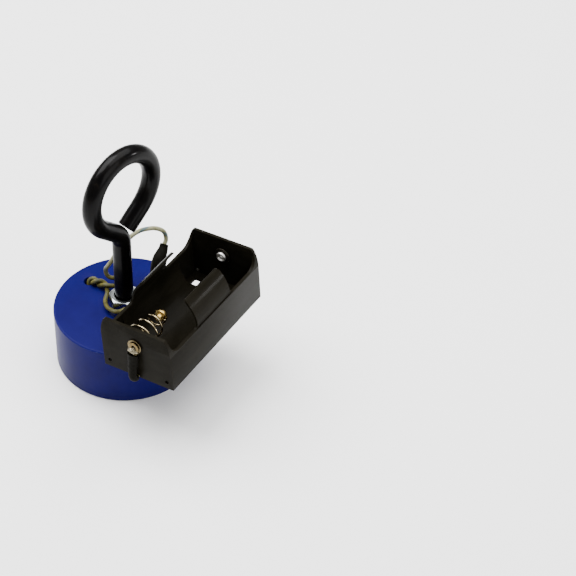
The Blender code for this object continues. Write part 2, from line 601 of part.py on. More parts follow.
def battery_holder(mat, seat):
    """One moulding: tub with a round cradle, two retaining lips, skirts and wire notches."""
    inner_length = HOLDER_LENGTH - 2 * END_WALL
    middle = HOLDER_LENGTH / 2
    body = prism("battery_holder", [end_wall_outline()], HOLDER_LENGTH, "XZ")
    shift(body, y=middle)
    rounding = body.modifiers.new("mould_edges", "BEVEL")
    rounding.width = MOULD_EDGE
    rounding.segments = 2
    rounding.limit_method = "ANGLE"
    rounding.angle_limit = math.radians(40)
    bake(body)
    opening = prism("side_opening", [side_opening_outline()], 2 * HOLDER_WIDTH, "YZ")
    combine(body, shift(opening, x=CELL_X), "DIFFERENCE")

    lips = prism("lips", [lip_section(1), lip_section(-1)], LIP_LENGTH + 2 * LIP_FLARE + MOULD_EDGE, "XZ")
    shift(lips, y=middle)
    lip_shape = prism("lip_shape", [lip_outline()], 2 * HOLDER_WIDTH, "YZ")
    combine(lips, shift(lip_shape, x=CELL_X), "INTERSECT")
    combine(body, lips, "UNION")

    inside = prism("inside", [inside_outline()], inner_length, "XZ")
    combine(body, shift(inside, y=middle), "DIFFERENCE")
    cradle_length = HOLDER_LENGTH - 2 * CRADLE_START
    cradle = prism("cradle", [cradle_outline()], cradle_length, "XZ")
    combine(body, shift(cradle, y=middle), "UNION")

    cutters = []
    for name, y in (("recess_front", END_WALL), ("recess_back", HOLDER_LENGTH - CRADLE_START)):
        cutters.append(block(name, (SIDE_WALL, y, -FLOOR_THICKNESS),
                             (HOLDER_WIDTH - SIDE_WALL, y + CRADLE_START - END_WALL, FLOOR_RECESS)))
    pocket_length = cradle_length - 2 * CRADLE_RIB
    for side, name in ((1, "pocket_right"), (-1, "pocket_left")):
        cutters.append(shift(prism(name, [pocket_outline(side)], pocket_length, "XZ"), y=middle))
    cutters.append(block("side_notch", (-SIDE_WALL, SIDE_NOTCH_Y - SIDE_NOTCH_WIDTH / 2, -SIDE_WALL),
                         (2 * SIDE_WALL, SIDE_NOTCH_Y + SIDE_NOTCH_WIDTH / 2, SIDE_NOTCH_HEIGHT)))
    ribs = (("rib_notch_front", CRADLE_START), ("rib_notch_back", HOLDER_LENGTH - CRADLE_START - CRADLE_RIB))
    for name, y in ribs:
        cutters.append(block(name, (RIB_NOTCH_X - RIB_NOTCH_WIDTH / 2, y - CRADLE_RIB, -CRADLE_RIB),
                             (RIB_NOTCH_X + RIB_NOTCH_WIDTH / 2, y + 2 * CRADLE_RIB, RIB_NOTCH_HEIGHT)))
    for name, y in (("end_notch_front", 0), ("end_notch_back", HOLDER_LENGTH - END_WALL)):
        cutters.append(block(name, (LUG_X - END_NOTCH_WIDTH / 2, y - END_WALL, -END_WALL),
                             (LUG_X + END_NOTCH_WIDTH / 2, y + 2 * END_WALL, END_NOTCH_HEIGHT)))
    for i, x in enumerate((SLOT_SIDE_INSET, HOLDER_WIDTH - SLOT_SIDE_INSET - SLOT_WIDTH)):
        for k, y in enumerate((SLOT_END_INSET, HOLDER_LENGTH - SLOT_END_INSET - SLOT_LENGTH)):
            cutters.append(block(f"floor_slot_{i}{k}", (x, y, FLOOR_RECESS - FLOOR_THICKNESS),
                                 (x + SLOT_WIDTH, y + SLOT_LENGTH, FLOOR_Z + FLOOR_THICKNESS)))
    for k, y in enumerate((0, HOLDER_LENGTH - END_WALL)):
        for i, x in enumerate((PIN_HOLE_INSET, HOLDER_WIDTH - PIN_HOLE_INSET)):
            cutters.append(through_y(f"pin_hole_{i}{k}", PIN_HOLE_DIAMETER / 2, y - END_WALL,
                                     y + 2 * END_WALL, x, PIN_HOLE_HEIGHT, 12))
    cutters.append(through_y("eyelet_hole", EYELET_BARREL_RADIUS + GAP, -END_WALL, 2 * END_WALL,
                             CELL_X, CELL_Z))
    cutters.append(through_y("rivet_hole", RIVET_SHANK_RADIUS + GAP, HOLDER_LENGTH - 2 * END_WALL,
                             HOLDER_LENGTH + END_WALL, CELL_X, CELL_Z))
    for cutter in cutters:
        combine(body, cutter, "DIFFERENCE")
    return finish(body, mat, seat)


def spring_start_y():
    """Wire centre of the spring's flat base, on the front wall."""
    return END_WALL + GAP + SPRING_WIRE / 2


def spring_points():
    """Loop round the eyelet, flat spiral out to the base coil, then the cone up to its tip."""
    loop_radius = EYELET_BARREL_RADIUS + GAP + SPRING_WIRE / 2
    flat_turns = SPRING_LOOP_TURNS + SPRING_SPIRAL_TURNS
    total = flat_turns + SPRING_CONE_TURNS
    points = []
    for i in range(int(total * SPRING_POINTS_PER_TURN) + 1):
        turn = i / SPRING_POINTS_PER_TURN
        spiral = min(max((turn - SPRING_LOOP_TURNS) / SPRING_SPIRAL_TURNS, 0), 1)
        cone = max((turn - flat_turns) / SPRING_CONE_TURNS, 0)
        radius = loop_radius + (SPRING_BASE_RADIUS - loop_radius) * spiral
        radius += (SPRING_TIP_RADIUS - SPRING_BASE_RADIUS) * cone
        angle = 2 * math.pi * turn
        rise = SPRING_TIP_RISE * cone
        points.append((CELL_X + radius * math.cos(angle), spring_start_y() + SPRING_LENGTH * cone,
                       CELL_Z + rise + radius * math.sin(angle)))
    return points


def contact_spring(mat, seat):
    """Conical spring of plated wire that presses on the cell's flat end."""
    return finish(wire("contact_spring", spring_points(), SPRING_WIRE / 2), mat, seat)


def contact_button(mat, seat):
    """Domed brass button on the spring's tip, its stem inside the last coil."""
    stem_radius = SPRING_TIP_RADIUS - SPRING_WIRE / 2 - BUTTON_STEM_PLAY
    dome = arc((0, BUTTON_RIM), BUTTON_DOME, math.pi / 2, 0, 6)
    profile = dome + [(BUTTON_RADIUS, BUTTON_RIM), (BUTTON_RADIUS, 0), (stem_radius, 0),
                      (stem_radius, -BUTTON_STEM), (0, -BUTTON_STEM)]
    button = turned("contact_button", profile, 24)
    lean = Matrix.Rotation(math.atan(SPRING_TIP_RISE / SPRING_LENGTH), 4, "X")
    tip_y = spring_start_y() + SPRING_LENGTH + SPRING_WIRE / 2 + GAP
    along_y(button, 0, 1, 0, 0)
    button.data.transform(Matrix.Translation((CELL_X, tip_y, CELL_Z + SPRING_TIP_RISE)) @ lean)
    return finish(button, mat, seat)


def spring_eyelet(mat, seat):
    """Hollow rivet through the front wall that clamps the spring's loop and the solder lug."""
    inside = END_WALL + 2 * GAP + SPRING_WIRE
    outside = -(2 * GAP + LUG_THICKNESS)
    flange, radius = EYELET_FLANGE, EYELET_FLANGE_RADIUS
    profile = [(EYELET_BORE_RADIUS, inside + flange), (radius, inside + flange), (radius, inside),
               (EYELET_BARREL_RADIUS, inside), (EYELET_BARREL_RADIUS, outside), (radius, outside),
               (radius, outside - flange), (EYELET_BORE_RADIUS, outside - flange)]
    return finish(along_y(turned("spring_eyelet", profile, 24, closed=True), 0, 1), mat, seat)


def crown(radius, rim, height, steps=4):
    """Half section of a low round head, from its top out to its rim."""
    rise = height - rim
    ball = (radius ** 2 + rise ** 2) / (2 * rise)
    return arc((0, height - ball), ball, math.pi / 2, math.acos(radius / ball), steps)


def rivet_stack():
    """How far inside the back wall the washer's and the rivet head's seats lie."""
    washer = GAP
    head = washer + WASHER_THICKNESS + GAP
    return washer, head


def positive_rivet(mat, seat):
    """Domed rivet through the back wall: the cell's nose touches its head."""
    head = rivet_stack()[1]
    outside = -(END_WALL + 2 * GAP + LUG_THICKNESS)
    clench = crown(RIVET_CLENCH_RADIUS, RIVET_CLENCH_RIM, RIVET_CLENCH)
    profile = [(radius, head + height) for radius, height in crown(RIVET_HEAD_RADIUS, RIVET_RIM, RIVET_HEAD)]
    profile += [(RIVET_HEAD_RADIUS, head), (RIVET_SHANK_RADIUS, head), (RIVET_SHANK_RADIUS, outside),
                (RIVET_CLENCH_RADIUS, outside)]
    profile += [(radius, outside - height) for radius, height in reversed(clench)]
    rivet = turned("positive_rivet", profile, 24)
    return finish(along_y(rivet, HOLDER_LENGTH - END_WALL, -1), mat, seat)


def contact_washer(mat, seat):
    """Plate under the rivet head."""
    inner = RIVET_SHANK_RADIUS + GAP
    low = rivet_stack()[0]
    high = low + WASHER_THICKNESS
    profile = [(inner, high), (WASHER_RADIUS - GAP, high), (WASHER_RADIUS, high - GAP), (WASHER_RADIUS, low),
               (inner, low)]
    washer = turned("contact_washer", profile, 28, closed=True)
    return finish(along_y(washer, HOLDER_LENGTH - END_WALL, -1), mat, seat)


def lug_line(reach=0.0):
    """Side view of a solder lug's middle plane: up the wall, a jog outward, down the sleeve."""
    plane = GAP + LUG_THICKNESS / 2
    jog_top = CELL_Z - LUG_JOG_DROP
    jog_low = jog_top - LUG_JOG_HEIGHT
    tail = CELL_Z - LUG_RING_RADIUS - LUG_TAIL_LENGTH
    return [(plane, CELL_Z + LUG_RING_RADIUS + reach), (plane, jog_top), (plane + LUG_JOG, jog_low),
            (plane + LUG_JOG + LUG_TAIL_LEAN, tail - reach)]


def lug_edge(offset, reach):
    """The lug's side view moved outward by an offset, with mitred corners."""
    line = np.array(lug_line(reach))
    run = np.diff(line, axis=0)
    run /= np.linalg.norm(run, axis=1)[:, None]
    side = np.stack([-run[:, 1], run[:, 0]], axis=1)
    joint = np.vstack([side[:1], side[:-1] + side[1:], side[-1:]])
    joint /= np.sum(joint * np.vstack([side[:1], side]), axis=1)[:, None]
    return line + joint * offset


def lug_strip(name, inner, outer, reach=0.0):
    """Strip between two offsets of the lug's side view, as wide as the holder."""
    ring = np.vstack([lug_edge(outer, reach), lug_edge(inner, reach)[::-1]])
    return shift(prism(name, [[(-out, up) for out, up in ring]], HOLDER_WIDTH, "YZ"), x=CELL_X)


def tail_x():
    """Middle of the lug's tail, between the rivet's axis and the sleeve's end."""
    return LUG_X + LUG_SHIFT / 2


def solder_lug(name, mat, seat, barrel_radius, back=False):
    """Ring terminal under a rivet, with a tail that runs into its sleeve."""
    lug = lug_strip(name, -LUG_THICKNESS / 2, LUG_THICKNESS / 2)
    half = LUG_TAIL_WIDTH / 2
    start = math.asin(half / LUG_RING_RADIUS)
    ring = arc((CELL_X, CELL_Z), LUG_RING_RADIUS, start - math.pi / 2, 1.5 * math.pi - start, 24)
    neck = CELL_Z - LUG_RING_RADIUS - LUG_THICKNESS
    end = CELL_Z - LUG_RING_RADIUS - LUG_TAIL_LENGTH - GAP
    outline = ring + [(tail_x() - half, neck), (tail_x() - half, end), (tail_x() + half, end),
                      (tail_x() + half, neck)]
    shape = prism(name + "_shape", [outline], 4 * LUG_RING_RADIUS, "XZ")
    combine(lug, shape, "INTERSECT")
    drill = through_y(name + "_drill", barrel_radius + GAP, -LUG_RING_RADIUS, LUG_RING_RADIUS, CELL_X, CELL_Z)
    combine(lug, drill, "DIFFERENCE")
    return finish(mirror_to_back(lug, back), mat, seat)


def mirror_to_back(obj, back):
    """Leave a front-wall piece as it is, or mirror it to the back wall."""
    if back:
        middle = Matrix.Translation((0, HOLDER_LENGTH / 2, 0))
        obj.data.transform(middle @ Matrix.Diagonal((1, -1, 1, 1)) @ middle.inverted())
        obj.data.flip_normals()
    return obj


def solder_joint(name, mat, seat, rivet_radius, back=False):
    """Drop of solder on the lug, between the rivet's rim and the mouth of the sleeve."""
    cage = bmesh.new()
    bmesh.ops.create_icosphere(cage, subdivisions=2, radius=1)
    mesh = bpy.data.meshes.new(name)
    cage.to_mesh(mesh)
    cage.free()
    plane = lug_line()[1][0]
    centre = Vector((tail_x(), -plane - LUG_JOG / 2, sleeve_mouth()[1] + GAP + SOLDER_HEIGHT))
    size = Matrix.Diagonal((SOLDER_WIDTH, SOLDER_DEPTH, SOLDER_HEIGHT, 1))
    mesh.transform(Matrix.Translation(centre) @ size)
    drop = place(name, mesh)
    keep_out = lug_strip(name + "_keep_out", -HOLDER_WIDTH, LUG_THICKNESS / 2 + GAP, HOLDER_WIDTH)
    combine(drop, keep_out, "DIFFERENCE")
    rim = through_y(name + "_rim", rivet_radius + GAP, -HOLDER_WIDTH, HOLDER_WIDTH, CELL_X, CELL_Z, 24)
    combine(drop, rim, "DIFFERENCE")
    return finish(mirror_to_back(drop, back), mat, seat)


def sleeve_mouth():
    """Outward distance and height of a lug sleeve's open mouth."""
    line = lug_line()
    return line[2][0], line[2][1] - SLEEVE_WALL


def lug_sleeve_route():
    """Middle line of a lug sleeve: down from its mouth, then round and in below the wall."""
    out, top = sleeve_mouth()
    low = FLOOR_RECESS - GAP - LEAD_RADIUS
    bend = arc((-GAP, low + SLEEVE_BEND), SLEEVE_BEND, math.pi, 1.5 * math.pi, 3)
    start = Vector((tail_x(), -out, top))
    way = Vector((LUG_X, *bend[0])) - start
    upper = []
    for share in (0, 1 / 3, 2 / 3):
        aside = share * share * (3 - 2 * share)
        upper.append((start.x + way.x * aside, start.y + way.y * aside, start.z + way.z * share))
    return upper + [(LUG_X, y, z) for y, z in bend]


def lug_sleeve(name, mat, seat, back=False):
    """Shrunk sleeve: a flat mouth round the lug's tail, closing to a round end on the lead."""
    centres = smooth_route(lug_sleeve_route(), SLEEVE_RING_SPACING)
    tangents = np.gradient(centres, axis=0)
    tangents /= np.linalg.norm(tangents, axis=1)[:, None]
    tangents[0] = (0, 0, -1)
    tangents[-1] = (0, 1, 0)
    share = np.linspace(0, 1, len(centres)) ** SLEEVE_TAPER
    end_radius = LEAD_RADIUS + GAP + SLEEVE_WALL
    cage = bmesh.new()
    rings = []
    for inset in (0.0, SLEEVE_WALL):
        layer = []
        for centre, tangent, t in zip(centres, tangents, share):
            half_width = (SLEEVE_MOUTH_WIDTH / 2) * (1 - t) + end_radius * t - inset
            half_depth = (SLEEVE_MOUTH_DEPTH / 2) * (1 - t) + end_radius * t - inset
            across = Vector((1, 0, 0))
            outward = Vector(tangent).cross(across).normalized()
            ring = [cage.verts.new(Vector(centre) + across * half_width * math.cos(a)
                                   + outward * half_depth * math.sin(a))
                    for a in (2 * math.pi * i / SLEEVE_SIDES for i in range(SLEEVE_SIDES))]
            layer.append(ring)
        rings += layer if inset == 0 else layer[::-1]
    for near, far in zip(rings, rings[1:] + rings[:1]):
        for i in range(SLEEVE_SIDES):
            k = (i + 1) % SLEEVE_SIDES
            cage.faces.new((near[i], near[k], far[k], far[i]))
    bmesh.ops.recalc_face_normals(cage, faces=cage.faces)
    mesh = bpy.data.meshes.new(name)
    cage.to_mesh(mesh)
    cage.free()
    return finish(mirror_to_back(place(name, mesh), back), mat, seat)


def from_row(points):
    """Hand-chosen points in millimetres, in the part's frame."""
    return [Vector(point) * 0.001 for point in points]


def from_holder(seat, points):
    """Hand-chosen points in millimetres in the holder's frame, brought to the part's frame."""
    return [seat.matrix_world @ (Vector(point) * 0.001) for point in points]


def under_wall(seat, back=False):
    """Last points of a lead: straight below the end wall and into the end of its lug sleeve."""
    low = lug_sleeve_route()[-1][2]
    run = [Vector((LUG_X, y, low)) for y in (3 * END_WALL, END_WALL, -GAP - SLEEVE_WALL)]
    if back:
        run = [Vector((p.x, HOLDER_LENGTH - p.y, p.z)) for p in run]
    return [seat.matrix_world @ point for point in run]


def twisted_pair():
    """The two leads' points from the winding, out of the lead hole, to where they part."""
    foot = LEAD_HOLE_CENTRE + Vector((0, 0, WINDING_TOP + LEAD_RADIUS))
    top = LEAD_HOLE_CENTRE + Vector((0, 0, MAGNET_HEIGHT))
    route = [foot, top - Vector((0, 0, LEAD_HOLE_DIAMETER / 2))]
    route += [top + Vector(step) * 0.001 for step in PAIR_ROUTE]
    middle = smooth_route(route)
    tangents = np.gradient(middle, axis=0)
    tangents /= np.linalg.norm(tangents, axis=1)[:, None]
    strands = ([], [])
    for i, (centre, tangent) in enumerate(zip(middle, tangents)):
        across = Vector(tangent).cross(Vector((0, 0, 1)) + Vector((-1, 0, 0))).normalized()
        up = across.cross(Vector(tangent))
        turn = 2 * math.pi * TWIST_TURNS * (i / (len(middle) - 1) - 1)
        for strand, start in zip(strands, (0, math.pi)):
            offset = across * math.cos(turn + start) + up * math.sin(turn + start)
            strand.append(Vector(centre) + offset * TWIST_RADIUS)
    return strands


def splice_radii(count):
    """Radii of the splice sleeve: its mouth, a swell over the joint, its lower end."""
    share = np.linspace(0, 1, count)
    swell = np.sin(math.pi * share ** SPLICE_SKEW) ** 2
    ends = (SPLICE_MOUTH_DIAMETER + (SPLICE_END_DIAMETER - SPLICE_MOUTH_DIAMETER) * share) / 2
    return ends + (SPLICE_MIDDLE_DIAMETER / 2 - ends) * swell


def leads(mat, sleeve_mat, seat):
    """Both coil leads, the splice on the second one and the link from it to the back lug."""
    front_start, arch_start = twisted_pair()
    front = front_start + from_row(FRONT_ROUTE) + from_holder(seat, FRONT_UNDER) + under_wall(seat)
    finish(wire("lead_front", smooth_route(front), LEAD_RADIUS), mat)

    splice = from_row(SPLICE_ROUTE)
    link = from_row(LINK_ROUTE) + from_holder(seat, LINK_UNDER) + under_wall(seat, back=True)
    whole = smooth_route(arch_start + from_row(ARCH_ROUTE) + splice + link)
    first, last = [int(np.argmin(np.linalg.norm(whole - np.array(end), axis=1)))
                   for end in (splice[0], splice[-1])]
    middle = (first + last) // 2
    finish(wire("lead_arch", whole[:middle + 1], LEAD_RADIUS), mat)
    finish(wire("link_lead", whole[middle + 1:], LEAD_RADIUS), mat)

    covered = whole[first:last + 1]
    sleeve = wire("splice_sleeve", covered, splice_radii(len(covered)), 4)
    before = covered[0] + (covered[0] - covered[1])
    after = covered[-1] + (covered[-1] - covered[-2])
    bore = wire("splice_bore", np.vstack([before, covered, after]), LEAD_RADIUS + SPLICE_PLAY, 3)
    finish(combine(sleeve, bore, "DIFFERENCE"), sleeve_mat)


def build():
    """Model the whole electromagnet."""
    clear_scene()
    paint = principled("blue_paint", (0.02, 0.035, 0.30), 0.35)
    moulding = principled("black_moulding", (0.02, 0.02, 0.02), 0.42)
    copper = principled("enamelled_copper", (0.55, 0.20, 0.08), 0.4, 0.9)
    resin = principled("dark_resin", (0.05, 0.035, 0.03), 0.5)
    bobbin = principled("natural_nylon", (0.75, 0.70, 0.58), 0.5)
    black_rod = principled("blackened_steel", (0.012, 0.012, 0.014), 0.33, 0.4)
    zinc = principled("bright_zinc", (0.78, 0.80, 0.84), 0.25, 1.0)
    brass = principled("brass", (0.80, 0.60, 0.25), 0.3, 1.0)
    nickel = principled("nickel_plate", (0.80, 0.78, 0.72), 0.22, 1.0)
    tin = principled("tinned_brass", (0.75, 0.72, 0.62), 0.35, 1.0)
    solder = principled("solder", (0.72, 0.72, 0.70), 0.3, 1.0)
    rubber = principled("black_sleeve", (0.03, 0.03, 0.03), 0.5)
    insulation = principled("cream_insulation", (0.80, 0.78, 0.50), 0.4)
    seat = holder_seat()
    magnet_pot(paint)
    coil_bobbin(bobbin)
    coil_winding(copper)
    pole_seal(resin)
    eyebolt(black_rod)
    lock_nut(zinc)
    battery_holder(moulding, seat)
    contact_spring(nickel, seat)
    contact_button(brass, seat)
    spring_eyelet(brass, seat)
    positive_rivet(nickel, seat)
    contact_washer(nickel, seat)
    solder_lug("front_lug", tin, seat, EYELET_BARREL_RADIUS)
    solder_lug("back_lug", tin, seat, RIVET_SHANK_RADIUS, back=True)
    solder_joint("front_solder", solder, seat, EYELET_FLANGE_RADIUS)
    solder_joint("back_solder", solder, seat, RIVET_HEAD_RADIUS, back=True)
    lug_sleeve("front_lug_sleeve", rubber, seat)
    lug_sleeve("back_lug_sleeve", rubber, seat, back=True)
    leads(insulation, rubber, seat)


build()
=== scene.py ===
"""Looks of a battery electromagnet: painted pot magnet, bent eye rod, lock nut, moulded holder
for one D cell, its contacts, and the leads that join it to the coil.

Metres, in the frame of the CAD part: the origin is the middle of the pole face, +Z is up and
+Y runs along the holder. Pieces of the holder are worked out in its own frame, X across, Y along
and Z up from its base, and then tilted with it.
"""

import math

import bmesh
import bpy
import numpy as np
from mathutils import Matrix, Vector


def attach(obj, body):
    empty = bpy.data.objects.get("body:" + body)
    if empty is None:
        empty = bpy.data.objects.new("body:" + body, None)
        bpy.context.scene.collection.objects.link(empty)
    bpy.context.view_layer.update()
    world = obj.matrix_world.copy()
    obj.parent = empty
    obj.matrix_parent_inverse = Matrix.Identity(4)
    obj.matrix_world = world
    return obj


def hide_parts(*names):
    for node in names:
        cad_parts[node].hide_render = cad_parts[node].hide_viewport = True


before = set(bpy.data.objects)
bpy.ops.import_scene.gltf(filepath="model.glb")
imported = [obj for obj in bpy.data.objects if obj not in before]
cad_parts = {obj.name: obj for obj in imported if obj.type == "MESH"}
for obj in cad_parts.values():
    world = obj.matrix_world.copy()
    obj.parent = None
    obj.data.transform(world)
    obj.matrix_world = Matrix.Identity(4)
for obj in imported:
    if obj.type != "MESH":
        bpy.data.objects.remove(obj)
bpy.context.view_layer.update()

# The camera that fits the photograph
CAMERA_PLACE = (0.399432, -0.530037, 0.652639)
CAMERA_RIGHT = (0.853552, 0.520676, 0.018584)
CAMERA_UP = (-0.365046, 0.572213, 0.734380)
CAMERA_VIEW = (-0.371740, 0.633616, -0.678484)
CAMERA_LENS = 120.77
CAMERA_NEAREST = 0.01
SENSOR_WIDTH = 36

# Each lamp's name, place, size and power: a soft key from the upper left, a large light overhead,
# a weak fill from the right front and a small low card at the right back
LAMPS = [("key", (-0.6, 0.0, 1.1), 1.0, 38.0), ("overhead", (0.1, 0.5, 1.3), 1.4, 36.0),
         ("fill", (0.9, -0.2, 0.6), 0.8, 6.0), ("card", (0.9, 0.75, 0.33), 0.12, 3.5)]
LAMP_AIM = (0, 0, 0.04)
SURROUND_LIGHT = 0.40
FLOOR_REACH = 3

# Meshes: the angles in degrees past which an edge is drawn sharp or rounded off, the distance
# below which two points are one, and the sides of small round pieces
SHARP_ANGLE = 35
CUT_SHARP_ANGLE = 50
ROUNDED_ANGLE = 32
SAME_POINT = 1e-7
SMALL_SIDES = 64

# Clearance between pieces, as in the solids, and the unit of the leads' routes
GAP = 0.0003
MM = 0.001

# Magnet and its lead hole; the drill that cuts the hole runs on past the plate it cuts
POT_RADIUS = 0.0335
POT_HEIGHT = 0.0305
POT_EDGE = 0.0008
POT_SIDES = 192
CORE_RADIUS = 0.015
GROOVE_RADIUS = 0.028
GROOVE_DEPTH = 0.0225
TAP_HOLE_RADIUS = 0.0043
TAP_HOLE_FLOOR = 0.0105
TAP_HOLE_CHAMFER = 0.0006
LEAD_HOLE_RADIUS = 0.0028
LEAD_HOLE_DISTANCE = 0.0238
LEAD_HOLE_BEARING = math.radians(168.9)
LEAD_HOLE_EDGE = 0.0005
DRILL_PAST = 0.0008
WINDING_TOP = 0.0206
LEAD_HOLE = np.array([LEAD_HOLE_DISTANCE * math.cos(LEAD_HOLE_BEARING),
                      LEAD_HOLE_DISTANCE * math.sin(LEAD_HOLE_BEARING), 0.0])

# Eye rod and lock nut
ROD_RADIUS = 0.004
COATED_RADIUS = 0.00435
SCREWED_LENGTH = 0.018
ROD_SIDES = 64
ROD_STEP = 0.0006
ROD_END_CHAMFER = 0.00035
EYE_RADIUS = 0.0189
EYE_HEIGHT = 0.0674
EYE_OFFSET = 0.0020
EYE_BEARING = math.radians(80.2)
EYE_START = math.radians(43)
EYE_END = math.radians(300)
TAIL_END = (0.0043, 0.0444)
TAIL_SLOPE = math.radians(39.3)
EYE_DRIFT = -0.0010
NECK_RADIUS = 0.0105
NUT_FLATS = 0.013
NUT_THICKNESS = 0.0065
NUT_BEARING = math.radians(21)
NUT_CHAMFER = math.radians(30)
NUT_FACE_LAND = 0.0002
NUT_CORNER_CUT = 0.995
NUT_CORNER_SOFTNESS = 0.0001
NUT_CHAMFER_SOFTNESS = 0.00006
NUT_SIDES = 384
NUT_LEVELS = 61

# Holder and its contacts
HOLDER_PLACE = (0.0150, -0.0370, 0.0308)
HOLDER_TILT = math.radians(4)
HOLDER_LENGTH = 0.0734
HOLDER_EDGE = 0.00018
END_WALL = 0.0016
CELL_X = 0.01875
CELL_Z = 0.0190
SPRING_WIRE = 0.0009
SPRING_BASE_RADIUS = 0.0072
SPRING_TIP_RADIUS = 0.0029
SPRING_LENGTH = 0.0172
SPRING_LOOP_TURNS = 0.8
SPRING_SPIRAL_TURNS = 0.7
SPRING_CONE_TURNS = 3.5
SPRING_TIP_RISE = 0.0018
SPRING_POINTS = 330
SPRING_SIDES = 14
SPRING_END_CHAMFER = 0.0001
BUTTON_RADIUS = 0.0032
BUTTON_RIM = 0.0010
BUTTON_DOME = 0.0024
BUTTON_STEM = 0.0020
BUTTON_STEM_RADIUS = 0.0020
BUTTON_EDGE = 0.00018
EYELET_BARREL_RADIUS = 0.0016
EYELET_BORE_RADIUS = 0.0011
EYELET_FLANGE_RADIUS = 0.0026
EYELET_FLANGE = 0.0004
EYELET_EDGE = 0.00018
RIVET_SHANK_RADIUS = 0.0015
RIVET_HEAD_RADIUS = 0.0025
RIVET_HOLLOW_HEAD = [(0, 0.00105), (0.0005, 0.00095), (0.0008, 0.0006), (0.0010, 0.0004),
                     (0.0014, 0.0004), (0.0017, 0.0009), (0.0020, 0.0011), (0.0023, 0.00095),
                     (RIVET_HEAD_RADIUS, 0.0005)]
RIVET_CLENCH_RADIUS = 0.0022
RIVET_CLENCH = 0.0006
RIVET_CLENCH_RIM = 0.0002
RIVET_EDGE = 0.00015
WASHER_RADIUS = 0.0040
WASHER_THICKNESS = 0.0006
WASHER_EDGE = 0.0002
WASHER_SIDES = 72
LUG_THICKNESS = 0.0005
LUG_EDGE = 0.00012
LUG_X = 0.0174
LUG_TAIL_X = 0.018075
SOLDER_SIZE = (0.0024, 0.00125, 0.0017)
SOLDER_OUT = 0.0011825
SOLDER_RISE = 0.00185

# Powers of the share turned by which the spring's radius falls and its height rises
SPRING_FLARE = 2
SPRING_CLIMB = 1.15

# Waves that leave the solder lumpy: height, waves down it and round it, start, and how fast they
# fade towards its top and bottom
SOLDER_WAVES = [(0.13, 0, 4, 0.7, 2), (0.09, 7, 2, 0.0, 1), (0.05, -6, 9, 0.0, 1)]

# Sleeves and leads
LEAD_RADIUS = 0.00105
LEAD_STEP = 0.0007
LEAD_SIDES = 20
TWIST_RADIUS = 0.00112
TWIST_TURNS = 2.25
TWIST_STEP = 0.0013
TWIST_SIDE = (-1.0, 0.0, 1.0)
SLEEVE_WALL = 0.0005
SLEEVE_DRAW = 0.00007
SLEEVE_MOUTH_WIDTH = 0.0058
SLEEVE_MOUTH_DEPTH = 0.0027
SLEEVE_MOUTH_OUT = 0.0017
SLEEVE_MOUTH_TOP = 0.0149
SLEEVE_BEND = 0.0024
SLEEVE_TAPER = 1.3
SLEEVE_STEP = 0.00035
SLEEVE_SIDES = 48
SLEEVE_FOLD = 0.00005
SLEEVE_FOLD_WAVES = 46
SPLICE_MOUTH_RADIUS = 0.0020
SPLICE_MIDDLE_RADIUS = 0.00305
SPLICE_END_RADIUS = 0.0022
SPLICE_SKEW = 0.85
SPLICE_BORE_RADIUS = 0.00145
SPLICE_SIDES = 40
SPLICE_FOLD = 0.00004
SPLICE_FOLD_WAVES = 60
UNDER_WALL_Z = -0.00015

# Routes of the leads in millimetres: the twisted pair's from the middle of the lead hole's
# mouth, the others in the part's frame, those under the holder in the holder's frame
PAIR_ROUTE = [(0.4, 0, -1.2), (1.1, -0.1, 0.4), (2.3, -0.5, 1.6), (3.9, -0.8, 2.15),
              (5.8, -0.7, 2.3), (8.0, -0.5, 2.4), (10.4, -1.0, 2.5), (12.6, -2.0, 2.6)]
FRONT_ROUTE = [(-10.1, 0.2, 32.5), (-9.4, -1.7, 32.3), (-8.4, -3.8, 32.3), (-6.5, -6.2, 32.5),
               (-3.6, -8.2, 32.9), (1.0, -9.1, 33.7), (4.3, -8.9, 35.6), (6.9, -7.5, 37.3),
               (9.3, -6.3, 36.9), (11.2, -6.0, 34.9), (12.6, -6.8, 32.8)]
FRONT_UNDER = [(0.2, 28.4, 1.1), (3.2, 26.4, 1.1), (5.4, 23.6, 1.1), (8.0, 20.6, 0.7),
               (10.6, 18.0, 0.4), (12.6, 15.2, -0.1), (15.2, 11.6, -0.15), (16.9, 8.0, -0.15)]
ARCH_ROUTE = [(-8.6, 6.9, 32.7), (-6.9, 7.8, 32.8), (-5.2, 9.2, 32.9), (-4.6, 11.2, 33.2),
              (-5.7, 12.9, 33.6), (-7.7, 13.0, 33.9), (-9.6, 11.7, 34.1), (-11.8, 9.6, 34.3),
              (-13.9, 8.1, 34.7), (-15.5, 7.9, 35.7), (-16.6, 8.4, 38.0), (-15.3, 8.3, 40.9),
              (-13.5, 9.2, 44.3), (-12.3, 10.6, 47.6), (-10.0, 12.6, 52.0), (-7.4, 14.2, 56.6),
              (-5.6, 15.3, 59.3), (-4.3, 17.3, 60.5), (-2.6, 19.7, 61.2), (-1.0, 22.2, 60.9),
              (0.7, 24.7, 60.2), (2.4, 27.1, 58.5), (3.4, 28.8, 56.1), (4.2, 29.0, 53.8),
              (4.6, 28.5, 51.9)]
SPLICE_ROUTE = [(4.6, 27.0, 50.2), (5.0, 25.4, 48.7), (5.4, 23.1, 47.5), (5.8, 20.6, 46.4),
                (6.2, 18.6, 45.0), (6.8, 16.5, 43.1), (7.4, 14.7, 41.0), (8.2, 12.6, 38.6)]
LINK_ROUTE = [(9.0, 10.4, 36.2), (9.9, 7.6, 34.2), (11.0, 4.2, 32.7), (12.7, 0.6, 32.0)]
